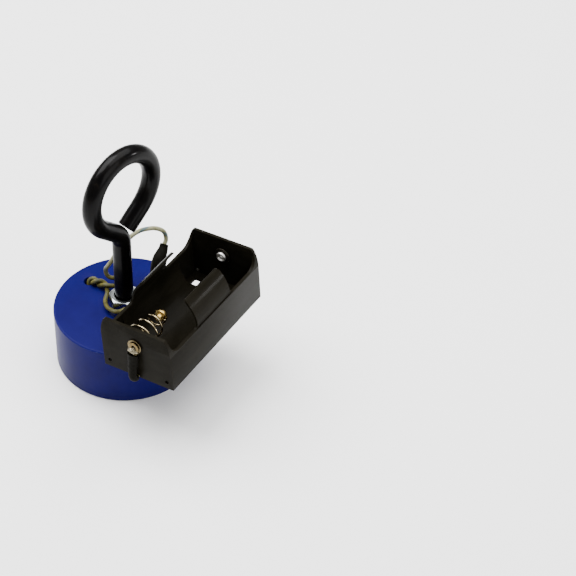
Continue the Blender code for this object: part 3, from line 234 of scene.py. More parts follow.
LINK_UNDER = [(0.2, 34.6, 1.1), (3.2, 35.2, 1.1), (5.0, 38.0, 1.1), (5.4, 42.0, 1.2),
              (6.2, 46.6, 1.0), (8.2, 51.4, 0.7), (10.6, 55.4, 0.4), (12.6, 58.2, -0.1),
              (15.2, 61.8, -0.15), (16.9, 65.4, -0.15)]


# New objects and the camera


def placed(name, data):
    """New object of a mesh, lamp or camera, linked to the scene."""
    made = bpy.data.objects.new(name, data)
    bpy.context.scene.collection.objects.link(made)
    return made


def set_camera():
    """Camera turned by its own right, up and view directions."""
    camera = bpy.data.cameras.new("camera")
    camera.lens = CAMERA_LENS
    camera.sensor_width = SENSOR_WIDTH
    camera.clip_start = CAMERA_NEAREST
    stand = placed("camera", camera)
    back = -np.array(CAMERA_VIEW)
    turn = Matrix(np.stack([CAMERA_RIGHT, CAMERA_UP, back], axis=1).tolist())
    stand.matrix_world = Matrix.Translation(CAMERA_PLACE) @ turn.to_4x4()
    bpy.context.scene.camera = stand


# Points and paths, as whole arrays


def unit(vectors):
    """Each vector divided by its own length."""
    return vectors / np.linalg.norm(vectors, axis=-1, keepdims=True)


def eased(share):
    """Smooth step: the share squared, times three less twice the share."""
    return share * share * (3 - 2 * share)


def round_angles(sides):
    """Evenly spaced angles of one full turn."""
    return 2 * math.pi * np.arange(sides) / sides


def tilted(points):
    """Points of the holder's frame in the part's frame: turned about Y by the tilt, then moved."""
    points = np.asarray(points, float)
    across, along, up = points[..., 0], points[..., 1], points[..., 2]
    c, s = math.cos(HOLDER_TILT), math.sin(HOLDER_TILT)
    return np.stack([across * c - up * s, along, across * s + up * c], axis=-1) + HOLDER_PLACE


def arc(centre, radius, start, end, steps):
    """Points of an arc in a plane: the centre plus the radius times the cosine and the sine."""
    angle = np.linspace(start, end, steps + 1)
    return np.stack([centre[0] + radius * np.cos(angle),
                     centre[1] + radius * np.sin(angle)], axis=1)


def run_along(points):
    """Distance along a line of points, from its start."""
    return np.concatenate([[0], np.cumsum(np.linalg.norm(np.diff(points, axis=0), axis=1))])


def evenly(points, step):
    """Points moved along their own line until they lie the same distance apart."""
    run = run_along(points)
    at = np.linspace(0, run[-1], max(2, int(round(run[-1] / step)) + 1))
    return np.stack([np.interp(at, run, points[:, i]) for i in range(3)], axis=1)


def smooth_route(route, step=LEAD_STEP):
    """Evenly spaced points on a centripetal Catmull-Rom curve: between two route points it is a
    mean of means of their neighbours, weighted by the square roots of the chords."""
    samples = 24
    route = np.asarray(route, float)
    ends = np.vstack([2 * route[:1] - route[1:2], route, 2 * route[-1:] - route[-2:-1]])
    p0, p1, p2, p3 = (ends[i:len(ends) - 3 + i, None, :] for i in range(4))
    chords = [np.sqrt(np.linalg.norm(b - a, axis=2, keepdims=True))
              for a, b in ((p0, p1), (p1, p2), (p2, p3))]
    t1 = chords[0]
    t2 = t1 + chords[1]
    t3 = t2 + chords[2]
    t = t1 + (t2 - t1) * np.linspace(0, 1, samples, endpoint=False)[None, :, None]
    a1 = ((t1 - t) * p0 + t * p1) / t1
    a2 = ((t2 - t) * p1 + (t - t1) * p2) / (t2 - t1)
    a3 = ((t3 - t) * p2 + (t - t2) * p3) / (t3 - t2)
    b1 = ((t2 - t) * a1 + t * a2) / t2
    b2 = ((t3 - t) * a2 + (t - t1) * a3) / (t3 - t1)
    fine = ((t2 - t) * b1 + (t - t1) * b2) / (t2 - t1)
    return evenly(np.vstack([fine.reshape(-1, 3), route[-1:]]), step)


def carried_frames(path, side):
    """Two directions across a path at each point: the side of the point before, with its part
    along the tangent taken off, and the cross product of the tangent with it."""
    nearly_along = 0.9
    tangents = unit(np.gradient(path, axis=0))
    sides = np.empty_like(path)
    last = np.asarray(side, float)
    if abs(last @ tangents[0]) > nearly_along:
        last = np.array([1.0, 0.0, 0.0])
    for i, tangent in enumerate(tangents):
        last = last - tangent * (last @ tangent)
        last /= np.linalg.norm(last)
        sides[i] = last
    return sides, np.cross(tangents, sides)


# Surfaces from grids


def shaded(mesh, sharp=SHARP_ANGLE):
    """Smooth shading, with the edges past an angle in degrees kept sharp."""
    mesh.shade_smooth()
    mesh.set_sharp_from_angle(angle=math.radians(sharp))


def grid_piece(name, grid, wrap=False, sharp=SHARP_ANGLE):
    """Mesh of a grid of points, closed round its columns and, with wrap, round its rows; its UV
    map holds the share of the way round and the distance along in metres."""
    rows, columns = grid.shape[:2]
    if wrap:
        grid = np.concatenate([grid, grid[:1]])
    along = np.zeros(len(grid))
    along[1:] = np.cumsum(np.linalg.norm(np.diff(grid, axis=0), axis=2).max(axis=1))
    i, k = np.meshgrid(np.arange(len(grid) - 1), np.arange(columns), indexing="ij")
    n = (k + 1) % columns
    corners = np.stack([(i, k), (i, n), (i + 1, n), (i + 1, k)])
    row = corners[:, 0] % rows if wrap else corners[:, 0]
    faces = (row * columns + corners[:, 1]).reshape(4, -1).T
    u = np.stack([k, k + 1, k + 1, k]).reshape(4, -1).T / columns
    v = along[np.stack([i, i, i + 1, i + 1])].reshape(4, -1).T
    mesh = bpy.data.meshes.new(name)
    mesh.from_pydata(grid[:rows].reshape(-1, 3).tolist(), [], faces.tolist())
    layer = mesh.uv_layers.new(name="wrap")
    layer.data.foreach_set("uv", np.stack([u, v], axis=-1).astype(np.float32).ravel())
    cage = bmesh.new()
    cage.from_mesh(mesh)
    bmesh.ops.remove_doubles(cage, verts=cage.verts, dist=SAME_POINT)
    if cage.calc_volume(signed=True) < 0:
        bmesh.ops.reverse_faces(cage, faces=cage.faces)
    cage.to_mesh(mesh)
    cage.free()
    shaded(mesh, sharp)
    return placed(name, mesh)


def turned_points(profile, sides=SMALL_SIDES):
    """Grid of a profile of (radius, height) turned about Z: radius times the cosine and sine of
    the angle, and the height."""
    profile = np.asarray(profile, float)
    angle = round_angles(sides)
    radius, height = profile[:, :1], profile[:, 1:]
    return np.stack([radius * np.cos(angle), radius * np.sin(angle), height + 0 * angle], axis=-1)


def rounded(profile, radius):
    """Closed profile with each corner swapped for a short curve: a mean of the corner and two
    points beside it, weighted as in a quadratic curve."""
    points = np.asarray(profile, float)
    t = np.linspace(0, 1, 4)[None, :, None]

    def beside(other):
        way = other - points
        length = np.linalg.norm(way, axis=1, keepdims=True)
        return points + way / np.maximum(length, 1e-9) * np.minimum(radius, length * 0.45)

    start = beside(np.roll(points, 1, axis=0))[:, None]
    end = beside(np.roll(points, -1, axis=0))[:, None]
    curves = (1 - t) ** 2 * start + 2 * t * (1 - t) * points[:, None] + t ** 2 * end
    return curves.reshape(-1, 2)


def tube_points(path, radii, sides, side=(0.0, 0.0, 1.0)):
    """Grid of a tube: each path point plus a radius times the cosine of the angle one way across
    and the sine the other way."""
    first, second = carried_frames(path, side)
    angle = round_angles(sides)[None, :, None]
    radii = np.asarray(radii, float).reshape(-1, 1, 1) * np.ones((len(path), 1, 1))
    ring = first[:, None] * np.cos(angle) + second[:, None] * np.sin(angle)
    return path[:, None] + radii * ring


def capped_tube(path, radius, sides, chamfer=0.0, side=(0.0, 0.0, 1.0)):
    """Tube closed by flat ends: its end rings are drawn in to the chamfer, then to a point."""
    radii = np.broadcast_to(radius, len(path))
    grid = tube_points(path, radii, sides, side)
    first, last = path[0], path[-1]
    start = [np.broadcast_to(first, grid[0].shape),
             first + (grid[0] - first) * (1 - chamfer / radii[0])]
    end = [last + (grid[-1] - last) * (1 - chamfer / radii[-1]),
           np.broadcast_to(last, grid[0].shape)]
    grid[0] = grid[0] + unit(path[1] - path[0]) * chamfer
    grid[-1] = grid[-1] - unit(path[-1] - path[-2]) * chamfer
    return np.concatenate([np.stack(start), grid, np.stack(end)])


def laid_along(grid, y, outward, x=CELL_X, z=CELL_Z):
    """Turned points laid with their height along the holder, at a wall and through (x, z)."""
    across, up = x + grid[..., 0], z + outward * grid[..., 1]
    return np.stack([across, y + outward * grid[..., 2], up], axis=-1)


def mirrored(points, back):
    """Points of the front wall as they are, or mirrored to the back wall."""
    points = np.array(points, float)
    if back:
        points[..., 1] = HOLDER_LENGTH - points[..., 1]
    return points


def crown(radius, rim, height):
    """Half section of a low round head, from its top out to its rim: an arc of one ball."""
    rise = height - rim
    ball = (radius ** 2 + rise ** 2) / (2 * rise)
    return arc((0, height - ball), ball, math.pi / 2, math.acos(radius / ball), 10)


def settled(piece, material, node):
    """Give a piece its material and its body, and hide the solid that it stands for."""
    piece.data.materials.clear()
    piece.data.materials.append(material)
    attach(piece, "root")
    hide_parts(node)
    return piece


def soften(piece, width, segments=3):
    """Round a piece's sharp edges."""
    rounding = piece.modifiers.new("rounding", "BEVEL")
    rounding.width = width
    rounding.segments = segments
    rounding.limit_method = "ANGLE"
    rounding.angle_limit = math.radians(ROUNDED_ANGLE)
    rounding.harden_normals = True


def welded_copy(node, name, edge):
    """Copy of a solid's mesh with its doubles merged, flat faces joined and edges rounded."""
    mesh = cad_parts[node].data.copy()
    mesh.name = name
    flat = math.radians(0.6)
    cage = bmesh.new()
    cage.from_mesh(mesh)
    bmesh.ops.remove_doubles(cage, verts=cage.verts, dist=SAME_POINT)
    bmesh.ops.dissolve_limit(cage, angle_limit=flat, verts=cage.verts, edges=cage.edges)
    cage.to_mesh(mesh)
    cage.free()
    shaded(mesh, ROUNDED_ANGLE)
    piece = placed(name, mesh)
    soften(piece, edge, segments=2)
    return piece


# Shader maths


class Value:
    """A shader socket that takes Python's arithmetic: each operator adds one Math node."""

    def __init__(self, finish, socket):
        self.finish = finish
        self.socket = socket

    def __add__(self, other):
        return self.finish.math("ADD", self, other)

    def __rsub__(self, other):
        return self.finish.math("SUBTRACT", other, self)

    def __mul__(self, other):
        return self.finish.math("MULTIPLY", self, other)

    __radd__ = __add__
    __rmul__ = __mul__

    def step(self, low, high):
        """0 below low, 1 above high and a soft rise between."""
        settings = {"interpolation_type": "SMOOTHSTEP", "clamp": True}
        sockets = {"Value": self, "From Min": low, "From Max": high}
        return self.finish.node("MapRange", settings, sockets)


class Finish:
    """One procedural material: plain values go on the shader's own sockets, the rest is linked."""

    def __init__(self, name, **plain):
        self.material = bpy.data.materials.new(name)
        self.material.use_nodes = True
        self.tree = self.material.node_tree
        self.shader = self.tree.nodes["Principled BSDF"]
        for words, value in plain.items():
            self.shader.inputs[words.replace("_", " ")].default_value = value
        self.place = self.node("TexCoord", {}, {}, "Object")
        self.relief = None

    def node(self, kind, settings, sockets, output=0):
        """Any node: its settings first, then the values or links of its sockets."""
        made = self.tree.nodes.new("ShaderNode" + kind)
        for key, value in settings.items():
            setattr(made, key, value)
        for key, value in sockets.items():
            self.feed(made.inputs[key], value)
        return Value(self, made.outputs[output])

    def feed(self, socket, value):
        """Link a value to a socket, or set the socket to a number or a colour."""
        if isinstance(value, Value):
            self.tree.links.new(value.socket, socket)
        elif isinstance(value, tuple) and socket.type == "RGBA":
            socket.default_value = (*value, 1)
        else:
            socket.default_value = value

    def math(self, operation, first, second=0.0):
        """One Math node."""
        return self.node("Math", {"operation": operation}, {0: first, 1: second})

    def mix(self, share, first, second):
        """Colour between two colours: the first at a share of 0, the second at 1."""
        return self.node("Mix", {"data_type": "RGBA"}, {0: share, 6: first, 7: second}, 2)

    def stretched(self, scale, turn=(0, 0, 0)):
        """Object coordinates scaled and turned."""
        return self.node("Mapping", {}, {"Vector": self.place, "Scale": scale, "Rotation": turn})

    def noise(self, scale, detail, rough, place=None, distortion=0.0):
        """Noise from 0 to 1."""
        sockets = {"Vector": place or self.place, "Scale": scale, "Detail": detail,
                   "Roughness": rough, "Distortion": distortion}
        return self.node("TexNoise", {}, sockets)

    def cells(self, scale):
        """Distance to the nearest of scattered points."""
        return self.node("TexVoronoi", {}, {"Vector": self.place, "Scale": scale})

    def across(self, axis, vector=None):
        """One coordinate of a vector, or of the object's own coordinates."""
        return self.node("SeparateXYZ", {}, {0: vector or self.place}, axis)

    def point(self, x, y=0.0, z=0.0):
        """Vector of three values."""
        return self.node("CombineXYZ", {}, {0: x, 1: y, 2: z})

    def wrapped(self):
        """The piece's own UV map: the share of the way round, and the metres along."""
        wrap = self.node("UVMap", {"uv_map": "wrap"}, {})
        return self.across(0, wrap), self.across(1, wrap)

    def bump(self, height, distance, strength):
        """Relief of a height in metres, laid over what came before."""
        sockets = {"Height": height, "Distance": distance, "Strength": strength}
        if self.relief:
            sockets["Normal"] = self.relief
        self.relief = self.node("Bump", {}, sockets)
        self.feed(self.shader.inputs["Normal"], self.relief)

    def set(self, **linked):
        """Link the shader's sockets, or set them to plain values."""
        for words, value in linked.items():
            self.feed(self.shader.inputs[words.replace("_", " ")], value)


def blue_enamel():
    """Glossy deep blue paint with a faint orange peel, a painted highlight as a lighter band along
    the top edge, and worn chips in that band; the pole face is bare ground steel, with fine rings
    about its middle."""
    f = Finish("blue_enamel", Coat_Roughness=0.16, Specular_IOR_Level=0.035)
    x, y, z = f.across(0), f.across(1), f.across(2)
    reach = f.math("SQRT", x * x + y * y)
    peel = f.noise(620, 2, 0.5)
    drift = f.noise(55, 3, 0.6)
    grain = f.noise(2600, 2, 0.6)
    near_side = reach.step(POT_RADIUS - 0.0011, POT_RADIUS - 0.0004)
    near_top = z.step(POT_HEIGHT - 0.0012, POT_HEIGHT - 0.0004)
    rim = near_side * near_top
    chips = rim * f.noise(900, 4, 0.7).step(0.60, 0.66)
    colour = f.mix(drift.step(0.3, 0.7), (0.0030, 0.0018, 0.054), (0.0038, 0.0026, 0.068))
    colour = f.mix(grain.step(0.55, 0.75) * 0.35, colour, (0.007, 0.006, 0.09))
    # Painted highlight: the rounded top edge is mixed towards a lighter blue; the chips below are
    # worn paint
    colour = f.mix(rim * 0.35, colour, (0.008, 0.008, 0.10))
    colour = f.mix(chips * 0.5, colour, (0.06, 0.07, 0.18))
    bare = 1 - z.step(0.00005, 0.00035)
    rings = f.noise(1, 3, 0.6, f.point(reach * 9000))
    steel = f.mix(f.noise(240, 5, 0.6).step(0.35, 0.7), (0.42, 0.42, 0.43), (0.58, 0.58, 0.59))
    painted_gloss = 0.30 + drift * 0.08 + grain * 0.06
    ground_gloss = 0.28 + rings * 0.16
    f.set(Base_Color=f.mix(bare, colour, steel), Metallic=bare, Coat_Weight=(1 - bare) * 0.02,
          Roughness=(1 - bare) * painted_gloss + bare * ground_gloss)
    f.bump(peel, 0.00004, 0.35)
    f.bump(rings * bare, 0.00002, 0.6)
    return f.material


def black_rod_enamel():
    """Black dipped paint on a bent rod: glossy, with faint draw lines and dull, rubbed patches."""
    f = Finish("black_rod_enamel", Coat_Roughness=0.12, Specular_IOR_Level=0.035)
    patches = f.noise(210, 4, 0.6)
    pits = f.noise(1500, 3, 0.6)
    rubbed = f.noise(420, 5, 0.65).step(0.60, 0.72)
    colour = f.mix(patches.step(0.35, 0.7), (0.0008, 0.0007, 0.0008), (0.0022, 0.0018, 0.0016))
    colour = f.mix(rubbed * 0.5, colour, (0.008, 0.006, 0.004))
    f.set(Base_Color=colour, Roughness=0.26 + patches * 0.14 + rubbed * 0.12,
          Coat_Weight=0.08 - rubbed * 0.05)
    f.bump(patches, 0.00022, 0.25)
    f.bump(pits, 0.00005, 0.3)
    return f.material


def bright_metal(name, light, dark, rough, scale=(3000, 3000, 300), scratches=0.25, dents=0.3,
                 stain=None):
    """Plated metal: fine drawn scratches, cloudy tarnish, small dents and, with a stain, specks."""
    f = Finish(name, Metallic=1.0)
    lines = f.noise(1, 3, 0.6, f.stretched(scale))
    clouds = f.noise(700, 4, 0.6)
    spots = f.noise(2600, 3, 0.6).step(0.58, 0.72)
    colour = f.mix(clouds.step(0.35, 0.7) * 0.3, light, dark)
    if stain:
        colour = f.mix(spots * 0.6, colour, stain)
    f.set(Base_Color=colour, Roughness=rough + lines * 0.12 + clouds * 0.10 + spots * 0.08)
    f.bump(lines, 0.00001, scratches)
    f.bump(clouds, 0.00003, dents)
    return f.material


def black_moulding():
    """Satin black moulded plastic: faint flow marks, fine grain, handling scratches and dust."""
    f = Finish("black_moulding", Specular_IOR_Level=0.022, Coat_Weight=0.012, Coat_Roughness=0.10)
    flow = f.noise(1, 4, 0.6, f.stretched((120, 45, 200)), 0.4)
    grain = f.noise(3800, 2, 0.6)
    scratch_one = f.noise(1, 2, 0.7, f.stretched((160, 5200, 160), (0.3, 0.5, 0.9)))
    scratch_two = f.noise(1, 2, 0.7, f.stretched((4600, 140, 140), (0.2, 0.1, 0.5)))
    scratches = scratch_one.step(0.70, 0.76) + scratch_two.step(0.71, 0.77)
    dust = f.noise(5200, 2, 0.6).step(0.68, 0.76)
    colour = f.mix(flow.step(0.3, 0.7), (0.0044, 0.0037, 0.0020), (0.0076, 0.0066, 0.0042))
    colour = f.mix(scratches * 0.18, colour, (0.020, 0.018, 0.014))
    colour = f.mix(dust * 0.12, colour, (0.04, 0.037, 0.03))
    f.set(Base_Color=colour, Roughness=0.30 + flow * 0.12 + grain * 0.10 + scratches * 0.08)
    f.bump(grain, 0.00003, 0.35)
    f.bump(flow, 0.00015, 0.2)
    f.bump(scratches, -0.00001, 0.3)
    return f.material


def cream_insulation():
    """Cream insulation, olive near the magnet, with a broken grey-blue tracer that winds round
    it 62 times a metre."""
    f = Finish("cream_insulation", Specular_IOR_Level=0.12)
    u, v = f.wrapped()
    turn = f.math("FRACT", u + v * 62)
    tracer = turn.step(0.08, 0.12) * (1 - turn.step(0.30, 0.34))
    broken = f.noise(380, 2, 0.5).step(0.30, 0.42)
    soil = f.noise(260, 4, 0.6)
    low = 1 - f.across(2).step(0.034, 0.046)
    pale = f.mix(soil.step(0.4, 0.75), (0.25, 0.245, 0.155), (0.13, 0.122, 0.05))
    olive = f.mix(soil.step(0.35, 0.7), (0.074, 0.063, 0.006), (0.026, 0.021, 0.002))
    colour = f.mix(low * 0.93, pale, olive)
    colour = f.mix(tracer * broken * (1 - low * 0.8) * 0.85, colour, (0.065, 0.10, 0.115))
    grain = f.noise(2400, 2, 0.6)
    f.set(Base_Color=colour, Roughness=0.36 + soil * 0.15 + grain * 0.08)
    f.bump(grain, 0.00003, 0.4)
    f.bump(f.noise(1, 2, 0.5, f.stretched((900, 900, 900))), 0.0001, 0.25)
    return f.material


def black_sleeving():
    """Satin black shrunk sleeve: cross wrinkles and lengthwise drawn lines."""
    f = Finish("black_sleeving", Specular_IOR_Level=0.02)
    u, v = f.wrapped()
    folds = f.noise(1, 3, 0.6, f.point(u * 5, v * 900))
    drawn = f.noise(1, 3, 0.6, f.point(u * 34, v * 90, 3.0))
    colour = f.mix(drawn.step(0.3, 0.7), (0.0022, 0.0020, 0.0012), (0.0050, 0.0046, 0.0032))
    f.set(Base_Color=colour, Roughness=0.36 + folds * 0.12 + drawn * 0.10)
    f.bump(folds, 0.00012, 0.35)
    f.bump(drawn, 0.00005, 0.35)
    return f.material


def solder_metal():
    """Solder: bright lumps with dull frosted skin and brown flux left in the hollows."""
    f = Finish("solder_metal", Metallic=1.0)
    frost = f.noise(1400, 4, 0.65)
    flux = f.noise(620, 3, 0.6).step(0.52, 0.66)
    colour = f.mix(frost.step(0.35, 0.7), (0.29, 0.26, 0.18), (0.11, 0.09, 0.05))
    colour = f.mix(flux * 0.8, colour, (0.05, 0.03, 0.010))
    f.set(Base_Color=colour, Metallic=1 - flux * 0.8, Roughness=0.20 + frost * 0.25)
    f.bump(frost, 0.00012, 0.5)
    return f.material


def copper_winding():
    """Enamelled copper: its turns as fine rings one above the other."""
    f = Finish("copper_winding", Metallic=0.9, Coat_Weight=0.6, Coat_Roughness=0.12)
    turns = f.math("SINE", f.across(2) * 14000) * 0.5 + 0.5
    tone = f.noise(180, 3, 0.6)
    colour = f.mix(tone.step(0.3, 0.7), (0.52, 0.19, 0.07), (0.36, 0.11, 0.04))
    f.set(Base_Color=f.mix(turns * 0.5, (0.09, 0.03, 0.012), colour), Roughness=0.3 + tone * 0.15)
    f.bump(turns, 0.0001, 0.6)
    return f.material


def plain_plastic(name, light, dark, rough):
    """Moulded or cast plastic: cloudy tone, fine grain and small pits."""
    f = Finish(name)
    clouds = f.noise(160, 4, 0.6)
    grain = f.noise(3000, 2, 0.6)
    pits = f.cells(900).step(0.02, 0.10)
    f.set(Base_Color=f.mix(clouds.step(0.3, 0.7), light, dark),
          Roughness=rough + grain * 0.1 + clouds * 0.08)
    f.bump(grain, 0.00003, 0.4)
    f.bump(pits, 0.00006, 0.3)
    return f.material


# The pieces


def twisted_pair():
    """The two leads' route points out of the lead hole: on both sides of one middle line, turning
    round it by a fixed number of turns, up to a step short of its end."""
    foot = LEAD_HOLE + (0, 0, WINDING_TOP + LEAD_RADIUS)
    top = LEAD_HOLE + (0, 0, POT_HEIGHT)
    outside = [top + np.array(point) * MM for point in PAIR_ROUTE]
    middle = smooth_route([foot, top - (0, 0, LEAD_HOLE_RADIUS)] + outside, TWIST_STEP)
    tangents = unit(np.gradient(middle, axis=0))
    across = unit(np.cross(tangents, TWIST_SIDE))
    up = np.cross(across, tangents)
    share = np.arange(len(middle)) / (len(middle) - 1)
    turn = 2 * math.pi * TWIST_TURNS * (share - 1)[:, None]
    offset = (across * np.cos(turn) + up * np.sin(turn)) * TWIST_RADIUS
    return (middle + offset)[:-1], (middle - offset)[:-1]


def under_wall(back=False):
    """Last route points of a lead: straight below the end wall and into its lug sleeve."""
    run = [(LUG_X, y, UNDER_WALL_Z) for y in (3 * END_WALL, END_WALL, -GAP - SLEEVE_WALL)]
    return tilted(mirrored(run, back))


def splice_sleeve(covered, sleeving):
    """Shrunk sleeve along the covered points of a lead: its radius goes from one mouth's to the
    other's and swells between them by a squared sine, with shallow folds round it."""
    run = run_along(covered) / run_along(covered)[-1]
    mouths = SPLICE_MOUTH_RADIUS + (SPLICE_END_RADIUS - SPLICE_MOUTH_RADIUS) * run
    swell = np.sin(math.pi * run ** SPLICE_SKEW) ** 2
    folds = SPLICE_FOLD * np.sin(run * SPLICE_FOLD_WAVES) * np.sin(run * math.pi)
    radii = mouths + (SPLICE_MIDDLE_RADIUS - mouths) * swell + folds
    outer = tube_points(covered, radii, SPLICE_SIDES)
    inner = tube_points(covered, SPLICE_BORE_RADIUS, SPLICE_SIDES)[::-1]
    sleeve = grid_piece("splice_sleeving", np.concatenate([outer, inner]), wrap=True)
    return settled(sleeve, sleeving, "splice_sleeve")


def leads(insulation, sleeving):
    """The two coil leads, the shrunk sleeve on the second one's splice, and the link from it."""
    front_start, arch_start = twisted_pair()
    front_under, link_under = (tilted(np.array(route) * MM) for route in (FRONT_UNDER, LINK_UNDER))
    splice = np.array(SPLICE_ROUTE) * MM
    front = smooth_route(np.vstack([front_start, np.array(FRONT_ROUTE) * MM, front_under,
                                    under_wall()]))
    whole = smooth_route(np.vstack([arch_start, np.array(ARCH_ROUTE) * MM, splice,
                                    np.array(LINK_ROUTE) * MM, link_under, under_wall(back=True)]))
    first, last = (int(np.argmin(np.linalg.norm(whole - end, axis=1)))
                   for end in (splice[0], splice[-1]))
    joint = (first + last) // 2
    sleeve = splice_sleeve(whole[first:last + 1], sleeving)
    for name, node, path, extra in (("coil_lead_front", "lead_front", front, []),
                                    ("coil_lead_arch", "lead_arch", whole[:joint + 1], [sleeve]),
                                    ("link_wire", "link_lead", whole[joint + 1:], [])):
        piece = grid_piece(name, capped_tube(path, LEAD_RADIUS, LEAD_SIDES))
        settled(piece, insulation, node)


def magnet_body(paint):
    """Pot and core turned as one, with the lead hole cut through its top plate."""
    edge = POT_EDGE
    top = arc((POT_RADIUS - edge, POT_HEIGHT - edge), edge, math.pi / 2, 0, 10)
    low = arc((POT_RADIUS - edge, edge), edge, 0, -math.pi / 2, 10)
    tap_hole = [(0, TAP_HOLE_FLOOR), (TAP_HOLE_RADIUS, TAP_HOLE_FLOOR),
                (TAP_HOLE_RADIUS, POT_HEIGHT - TAP_HOLE_CHAMFER),
                (TAP_HOLE_RADIUS + TAP_HOLE_CHAMFER, POT_HEIGHT)]
    groove = [(GROOVE_RADIUS + GAP, 0), (GROOVE_RADIUS, GAP), (GROOVE_RADIUS, GROOVE_DEPTH),
              (CORE_RADIUS, GROOVE_DEPTH), (CORE_RADIUS, GAP), (CORE_RADIUS - GAP, 0), (0, 0)]
    profile = np.vstack([tap_hole, top, low, groove])
    piece = grid_piece("magnet_body", turned_points(profile, POT_SIDES))

    radius, reach = LEAD_HOLE_RADIUS, LEAD_HOLE_RADIUS + LEAD_HOLE_EDGE
    lip = arc((reach, POT_HEIGHT - LEAD_HOLE_EDGE), LEAD_HOLE_EDGE, math.pi / 2, math.pi, 6)
    above, below = POT_HEIGHT + DRILL_PAST, GROOVE_DEPTH - DRILL_PAST
    drill_profile = np.vstack([[(0, above), (reach, above)], lip, [(radius, below), (0, below)]])
    drill = grid_piece("lead_hole_drill", turned_points(drill_profile) + LEAD_HOLE)
    cut = piece.modifiers.new("lead_hole", "BOOLEAN")
    cut.operation = "DIFFERENCE"
    cut.solver = "EXACT"
    cut.object = drill
    bpy.context.view_layer.update()
    seen = piece.evaluated_get(bpy.context.evaluated_depsgraph_get())
    mesh = bpy.data.meshes.new_from_object(seen)
    piece.modifiers.clear()
    piece.data = mesh
    shaded(mesh)
    bpy.data.objects.remove(drill, do_unlink=True)
    settled(piece, paint, "magnet_pot")


def eye_path():
    """Middle line of the rod: shank, neck bend, slope, the eye as an arc, a quadratic bend from it
    to the straight tail, all in one plane, from which it drifts by the cube of the share run."""
    def on_eye(angle):
        return np.stack([EYE_OFFSET - EYE_RADIUS * np.sin(angle),
                         EYE_HEIGHT - EYE_RADIUS * np.cos(angle)], axis=-1)

    def heading(angle):
        return np.array([-math.cos(angle), math.sin(angle)])

    start = on_eye(EYE_START)
    corner = start + heading(EYE_START) * (start[0] / math.cos(EYE_START))
    bend = math.pi / 2 - EYE_START
    foot = corner[1] - NECK_RADIUS * math.tan(bend / 2)
    neck = arc((-NECK_RADIUS, foot), NECK_RADIUS, 0, bend, 24)
    eye = on_eye(np.linspace(EYE_START, EYE_END, 160))

    way = heading(EYE_END)
    back = np.array([math.cos(TAIL_SLOPE), math.sin(TAIL_SLOPE)])
    to_tail = np.array(TAIL_END) - eye[-1]
    lead = np.linalg.solve(np.stack([way, -back], axis=1), to_tail)[0]
    turn = eye[-1] + way * lead
    t = np.linspace(0, 1, 24)[1:, None]
    bent = (1 - t) ** 2 * eye[-1] + 2 * t * (1 - t) * turn + t ** 2 * (turn - back * lead)

    plane = np.vstack([[(0, -SCREWED_LENGTH)], neck, eye, bent, [TAIL_END]])
    run = run_along(plane)
    past = np.maximum(run - run[len(neck)], 0) / (run[-1] - run[len(neck)])
    aside = EYE_DRIFT * past ** 3
    c, s = math.cos(EYE_BEARING), math.sin(EYE_BEARING)
    line = np.stack([plane[:, 0] * c + aside * s, plane[:, 0] * s - aside * c,
                     POT_HEIGHT + plane[:, 1]], axis=1)
    return evenly(line, ROD_STEP)


def eye_rod(enamel):
    """Bent rod: a tube round its path, its ends cut flat with a small chamfer; its radius rises
    by the paint's thickness just above the nut, as a smooth step of the height."""
    path = eye_path()
    start = POT_HEIGHT + NUT_THICKNESS + 2 * GAP
    share = np.clip((path[:, 2] - start) / (2 * GAP), 0, 1)
    past_neck = np.arange(len(path)) > len(path) / 2
    coated = np.where(past_neck, 1, eased(share))
    radii = ROD_RADIUS + (COATED_RADIUS - ROD_RADIUS) * coated
    normal = (-math.sin(EYE_BEARING), math.cos(EYE_BEARING), 0.0)
    piece = grid_piece("eye_rod", capped_tube(path, radii, ROD_SIDES, ROD_END_CHAMFER, normal))
    settled(piece, enamel, "eyebolt")


def softened(value, width):
    """The greater of a value and nought, with its kink rounded: half the sum of the value and the
    root of its square plus the width's square."""
    return (value + np.sqrt(value ** 2 + width ** 2)) / 2


def hex_nut(plate):
    """Nut: at each angle the wall lies at the lesser of the flat's distance and the chamfer
    cone's, blended softly, and its section is closed through the bore."""
    angle = round_angles(NUT_SIDES)
    sixth = math.pi / 3
    phase = (angle - NUT_BEARING) % sixth - sixth / 2
    flat = NUT_FLATS / 2 / np.cos(phase)
    corner = NUT_FLATS / 2 / math.cos(sixth / 2) * NUT_CORNER_CUT
    flat = corner - softened(corner - flat, NUT_CORNER_SOFTNESS)
    half = NUT_THICKNESS / 2
    face = NUT_FLATS / 2 - GAP
    height = half * np.cos(np.linspace(0.0, math.pi, NUT_LEVELS))
    cone = face + (half - np.abs(height)) / math.tan(NUT_CHAMFER)
    wall = flat[None] - softened(flat[None] - cone[:, None], NUT_CHAMFER_SOFTNESS)
    bore, mouth = TAP_HOLE_RADIUS, TAP_HOLE_RADIUS + TAP_HOLE_CHAMFER
    land = face - NUT_FACE_LAND
    top = np.array([(bore, half - TAP_HOLE_CHAMFER), (mouth, half), (land, half)])
    low = top[::-1] * (1, -1)
    radius = np.concatenate([top[:, :1] + 0 * angle, wall, low[:, :1] + 0 * angle])
    level = np.concatenate([top[:, 1], height, low[:, 1]])[:, None] + 0 * angle
    grid = np.stack([radius * np.cos(angle), radius * np.sin(angle),
                     level + POT_HEIGHT + GAP + half], axis=-1)
    piece = grid_piece("hex_nut", grid, wrap=True, sharp=28)
    settled(piece, plate, "lock_nut")


